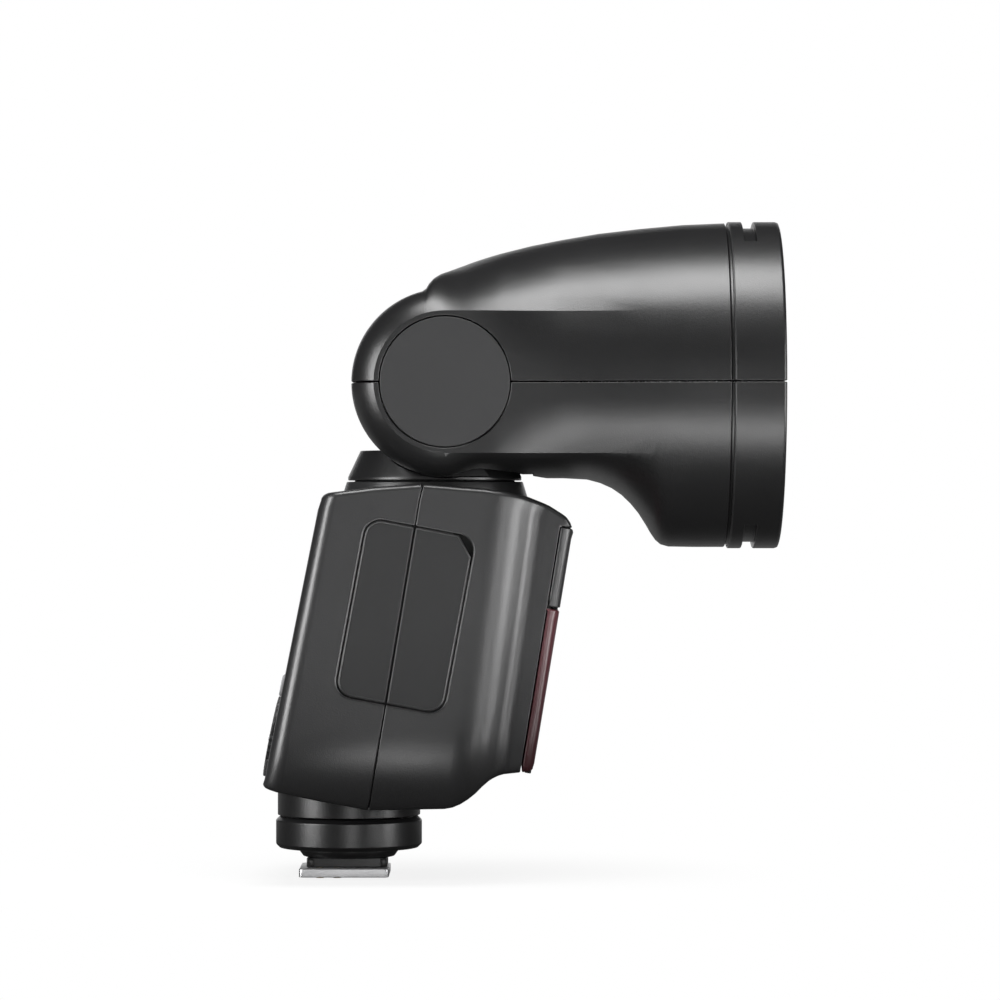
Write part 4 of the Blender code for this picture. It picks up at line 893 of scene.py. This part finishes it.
# %% Bars
INK_THICK = 0.10
BAR_ROUND = 0.42
KEY_TOP, SET_TOP = 0.7, 1.2
KEY_PITCH, KEYS_V = 12.2, -10.4
SIDE_KEY_U, UPPER_KEY_V, LOWER_KEY_V = 19.5, -19.0, -28.0
DIAL_V = -23.5


def bar(name, on, u, v, w, wide, tall, body, ink=print_white):
    """A printed bar on a face frame at (u, v), in mm; w is the height of the face it lies on."""
    block((wide * MM, tall * MM, INK_THICK * MM), BAR_ROUND * min(wide, tall) * MM, 4, True)
    settle(name, on_face(on, u, v, w), body, ink)


for k in range(4):
    u = (k - 1.5) * KEY_PITCH
    bar(f"key_mark_{k + 1}", REAR, u, KEYS_V, KEY_TOP, 3.2, 0.6, f"function_button_{k + 1}", key_black)
for k in range(3):
    v = UPPER_KEY_V + (k - 1) * 0.95
    bar(f"menu_line_{k + 1}", REAR, SIDE_KEY_U, v, KEY_TOP, 2.6, 0.36, "menu_button")
for k in range(4):
    at = on_face(REAR, -SIDE_KEY_U, UPPER_KEY_V) @ Matrix.Rotation(pi / 2 * k, 4, "Z")
    bar(f"mode_mark_{k + 1}", at, 1.1, 0, KEY_TOP, 0.36, 1.3, "mode_button")
bar("set_mark", REAR, 0, DIAL_V, SET_TOP, 1.3, 1.3, "set_button", key_black)
print("key marks printed")

# %% Bolt on the test key
BOLT = ((0.35, 1.7), (-0.95, -0.25), (-0.1, -0.25), (-0.45, -1.7), (0.95, 0.35), (0.1, 0.35))
deselect()
bpy.ops.mesh.primitive_circle_add(vertices=len(BOLT), radius=MM, fill_type="NGON")
for point, (u, v) in zip(bpy.context.object.data.vertices, BOLT):
    point.co = (u * MM, v * MM, -INK_THICK / 2 * MM)
bpy.ops.object.mode_set(mode="EDIT")
bpy.ops.mesh.select_all(action="SELECT")
extrude((0, 0, INK_THICK * MM))
face_out()
at = on_face(REAR, -SIDE_KEY_U, LOWER_KEY_V, KEY_TOP)
settle("test_bolt", at, "test_button", print_white)
print("bolt printed")

# %% [markdown]
# ## Arrows on the dial, words by the switch
#
# The dial turns round the set button, and four small raised arrows on its face show that it also works as a
# pad. The switch slides up to turn the flash on, so the two plain words stand beside it. Text is a curve with
# a fill; it becomes a mesh before it is moved to its place.

# %% Dial arrows
DIAL_TOP, ARROW_OUT = 1.5, 7.1
ARROW_R, ARROW_TALL = 0.95 * MM, 0.4 * MM
for k in range(4):
    deselect()
    bpy.ops.mesh.primitive_cylinder_add(vertices=3, radius=ARROW_R, depth=ARROW_TALL)
    bpy.ops.object.mode_set(mode="EDIT")
    pick(lambda spot, way: way.z > ALONG)
    bpy.ops.mesh.bevel(offset=0.12 * MM, segments=2, affect="EDGES")
    middle = on_face(REAR, 0, DIAL_V, DIAL_TOP) @ Matrix.Rotation(pi / 2 * k, 4, "Z")
    settle(f"dial_arrow_{k + 1}", on_face(middle, 0, ARROW_OUT), "select_dial", print_white)
print("dial arrows set")

# %% Switch words
WORD_U, WORD_SIZE, WORD_THICK = 24.0, 1.6 * MM, 0.04 * MM
for word, v in (("ON", -26.9), ("OFF", -30.5)):
    deselect()
    bpy.ops.object.text_add()
    letters = bpy.context.object.data
    letters.body = word
    letters.size = WORD_SIZE
    letters.extrude = WORD_THICK
    letters.align_x = "CENTER"
    bpy.ops.object.convert(target="MESH")
    settle(f"switch_{word.lower()}", on_face(REAR, WORD_U, v), "body", print_white)
print("switch words printed")

# %% [markdown]
# ## Grips on the battery
#
# The battery is its own door on the far side. Three raised ribs give the thumb a hold when it slides out.

# %% Battery grips
LEFT = body_side(1)
GRIP_V, GRIP_PITCH = -15.2, 1.9
for k in range(3):
    block((11 * MM, 0.9 * MM, 0.7 * MM), 0.3 * MM, 3)
    at = on_face(LEFT, 0, GRIP_V + GRIP_PITCH * k)
    settle(f"battery_rib_{k + 1}", at, "battery_pack", panel_black)
print("battery ribs set, face looks along", [round(k, 3) for k in LEFT.col[2].xyz])

# %% [markdown]
# ## The white table
#
# The flash stands on a white table in front of a white room, so the picture has no horizon. To the camera the
# table is a plain white that still takes a little of the shadow round the foot. In a reflection it is dim,
# because black plastic mirrors everything round it, and a glowing table would wash its dark side out. It
# glows a little more behind the flash, so that the far side has something to reflect. The table ends a hand's
# width in front of the foot, which leaves room for a low lamp.

# %% Table paint
CAMERA_RAY, GLOSSY_RAY, CLEAR_RAY = 0, 3, 6
SHADOW_FULL, SHADOW_GONE, SHADOW_SHARE = 0.012, 0.11, 0.14
GLOW_FROM, GLOW_TO = 0.04, 0.20
GLOW_LEAST, GLOW_MORE = 0.03, 0.22


def table_paint():
    """White to the camera, with a soft shadow near the foot; dim in reflections."""
    paint = Paint("table_white")
    light = paint.node("LightPath", {}, {})
    pale = paint.mix(paint.noise(0.2), (0.80, 0.80, 0.80), (0.84, 0.84, 0.84))
    seen_colour = paint.mix(light[CAMERA_RAY], (0.03, 0.03, 0.03), pale)
    paint.set(Base_Color=seen_colour, Roughness=0.9, Specular_IOR_Level=0.0)
    away = paint.node("VectorMath", {"operation": "LENGTH"}, {0: paint.place()})[1]
    near = (1 - paint.ramp(away, SHADOW_FULL, SHADOW_GONE)) * SHADOW_SHARE
    behind = paint.ramp(paint.node("SeparateXYZ", {}, {0: paint.place()})[1], GLOW_FROM, GLOW_TO)
    mirrored = light[GLOSSY_RAY] * (GLOW_LEAST + behind * GLOW_MORE)
    seen = light[CAMERA_RAY] * (1 - near) + light[CLEAR_RAY] + mirrored
    glow = paint.node("Emission", {}, {"Color": (1, 1, 1), "Strength": 1.0})[0]
    both = paint.node("MixShader", {}, {0: seen, 1: Wire(paint, paint.shader.outputs[0]), 2: glow})[0]
    paint.feed(paint.tree.nodes["Material Output"].inputs["Surface"], both)
    return paint.material


table_white = table_paint()
print("table paint ready")

# %% Table
TABLE_WIDE = 3.2
TABLE_FRONT, TABLE_BACK = -0.13, 1.6
TABLE_TOP = cad_low.z - 0.2 * MM
deselect()
bpy.ops.mesh.primitive_grid_add(x_subdivisions=8, y_subdivisions=8, size=1.0)
table = bpy.context.object
table.name = "table"
table.scale = (TABLE_WIDE, TABLE_BACK - TABLE_FRONT, 1)
table.location = (0, (TABLE_BACK + TABLE_FRONT) / 2, TABLE_TOP)
bpy.ops.object.transform_apply(location=True, rotation=True, scale=True)
table.data.materials.append(table_white)
print("table top at", round(TABLE_TOP / MM, 2), "mm")

# %% [markdown]
# ## Soft lamps in a dark room
#
# Black plastic shows its shape only through reflections, and each lamp draws one soft band on it. The
# photograph has a band along the top of the head from a box overhead, one below its middle from a low box in
# front, and upright ones at the rear edge, along the nose and on the lock ring from boxes on both sides. A
# wide weak card behind the camera gives the flat sides their even grey, a small one close above the table
# lifts the body's lower edge, and another behind the flash lights its far side. The room itself stays dim, so
# that the faces that turn away from every lamp fall off to black.


# %% Lamps
def softbox(name, aim, middle, away, wide, tall, level):
    """A lamp round a middle, aimed from (degrees from the camera's side, degrees up).

    At level 1 it lights a white card fully.
    """
    turn, lift = radians(aim[0]), radians(aim[1])
    out = Vector((sin(turn) * cos(lift), -cos(turn) * cos(lift), sin(lift)))
    data = bpy.data.lights.new(name, "AREA")
    data.shape = "RECTANGLE"
    data.size = wide
    data.size_y = tall
    data.energy = level * pi * pi * away * away
    lamp = bpy.data.objects.new(name, data)
    bpy.context.scene.collection.objects.link(lamp)
    lamp.location = middle + out * away
    lamp.rotation_euler = out.to_track_quat("Z", "Y").to_euler()
    lamp.visible_camera = False


MIDDLE = Vector((0.035, 0, 0.09))
FOOT_SIDE = Vector((0.011, -0.031, 0.030))
softbox("lamp_top", (0, 76), MIDDLE, 0.8, 0.55, 0.38, 1.25)
softbox("lamp_low", (3, -30), MIDDLE, 0.6, 0.50, 0.14, 0.50)
softbox("lamp_left", (-61, 8), MIDDLE, 0.8, 0.34, 0.55, 1.05)
softbox("lamp_nose", (40, -4), MIDDLE, 0.8, 0.08, 0.60, 0.22)
softbox("lamp_right", (66, -2), MIDDLE, 0.8, 0.16, 0.60, 0.75)
softbox("lamp_fill", (0, 4), MIDDLE, 1.5, 0.6, 0.40, 0.039)
softbox("lamp_back", (180, 8), MIDDLE, 1.5, 1.3, 0.8, 0.14)
softbox("lamp_foot", (0, -20), FOOT_SIDE, 0.067, 0.022, 0.012, 0.14)
print("lamps set")

# %% Room
ROOM_DIM, ROOM_WHITE = (0.06, 0.06, 0.062, 1), (1, 1, 1, 1)


def room_paint(world):
    """White to the camera and through glass, dim in reflections and as light."""
    world.use_nodes = True
    tree = world.node_tree
    light = tree.nodes.new("ShaderNodeLightPath")
    shade = tree.nodes.new("ShaderNodeMix")
    shade.data_type = "RGBA"
    shade.inputs[MIX_ONE].default_value = ROOM_DIM
    shade.inputs[MIX_TWO].default_value = ROOM_WHITE
    seen = tree.nodes.new("ShaderNodeMath")
    tree.links.new(light.outputs["Is Camera Ray"], seen.inputs[0])
    tree.links.new(light.outputs["Is Transmission Ray"], seen.inputs[1])
    tree.links.new(seen.outputs[0], shade.inputs[0])
    tree.links.new(shade.outputs[MIX_COLOUR], tree.nodes["Background"].inputs["Color"])


bpy.context.scene.world = bpy.data.worlds.new("room")
room_paint(bpy.context.scene.world)
print("room set")
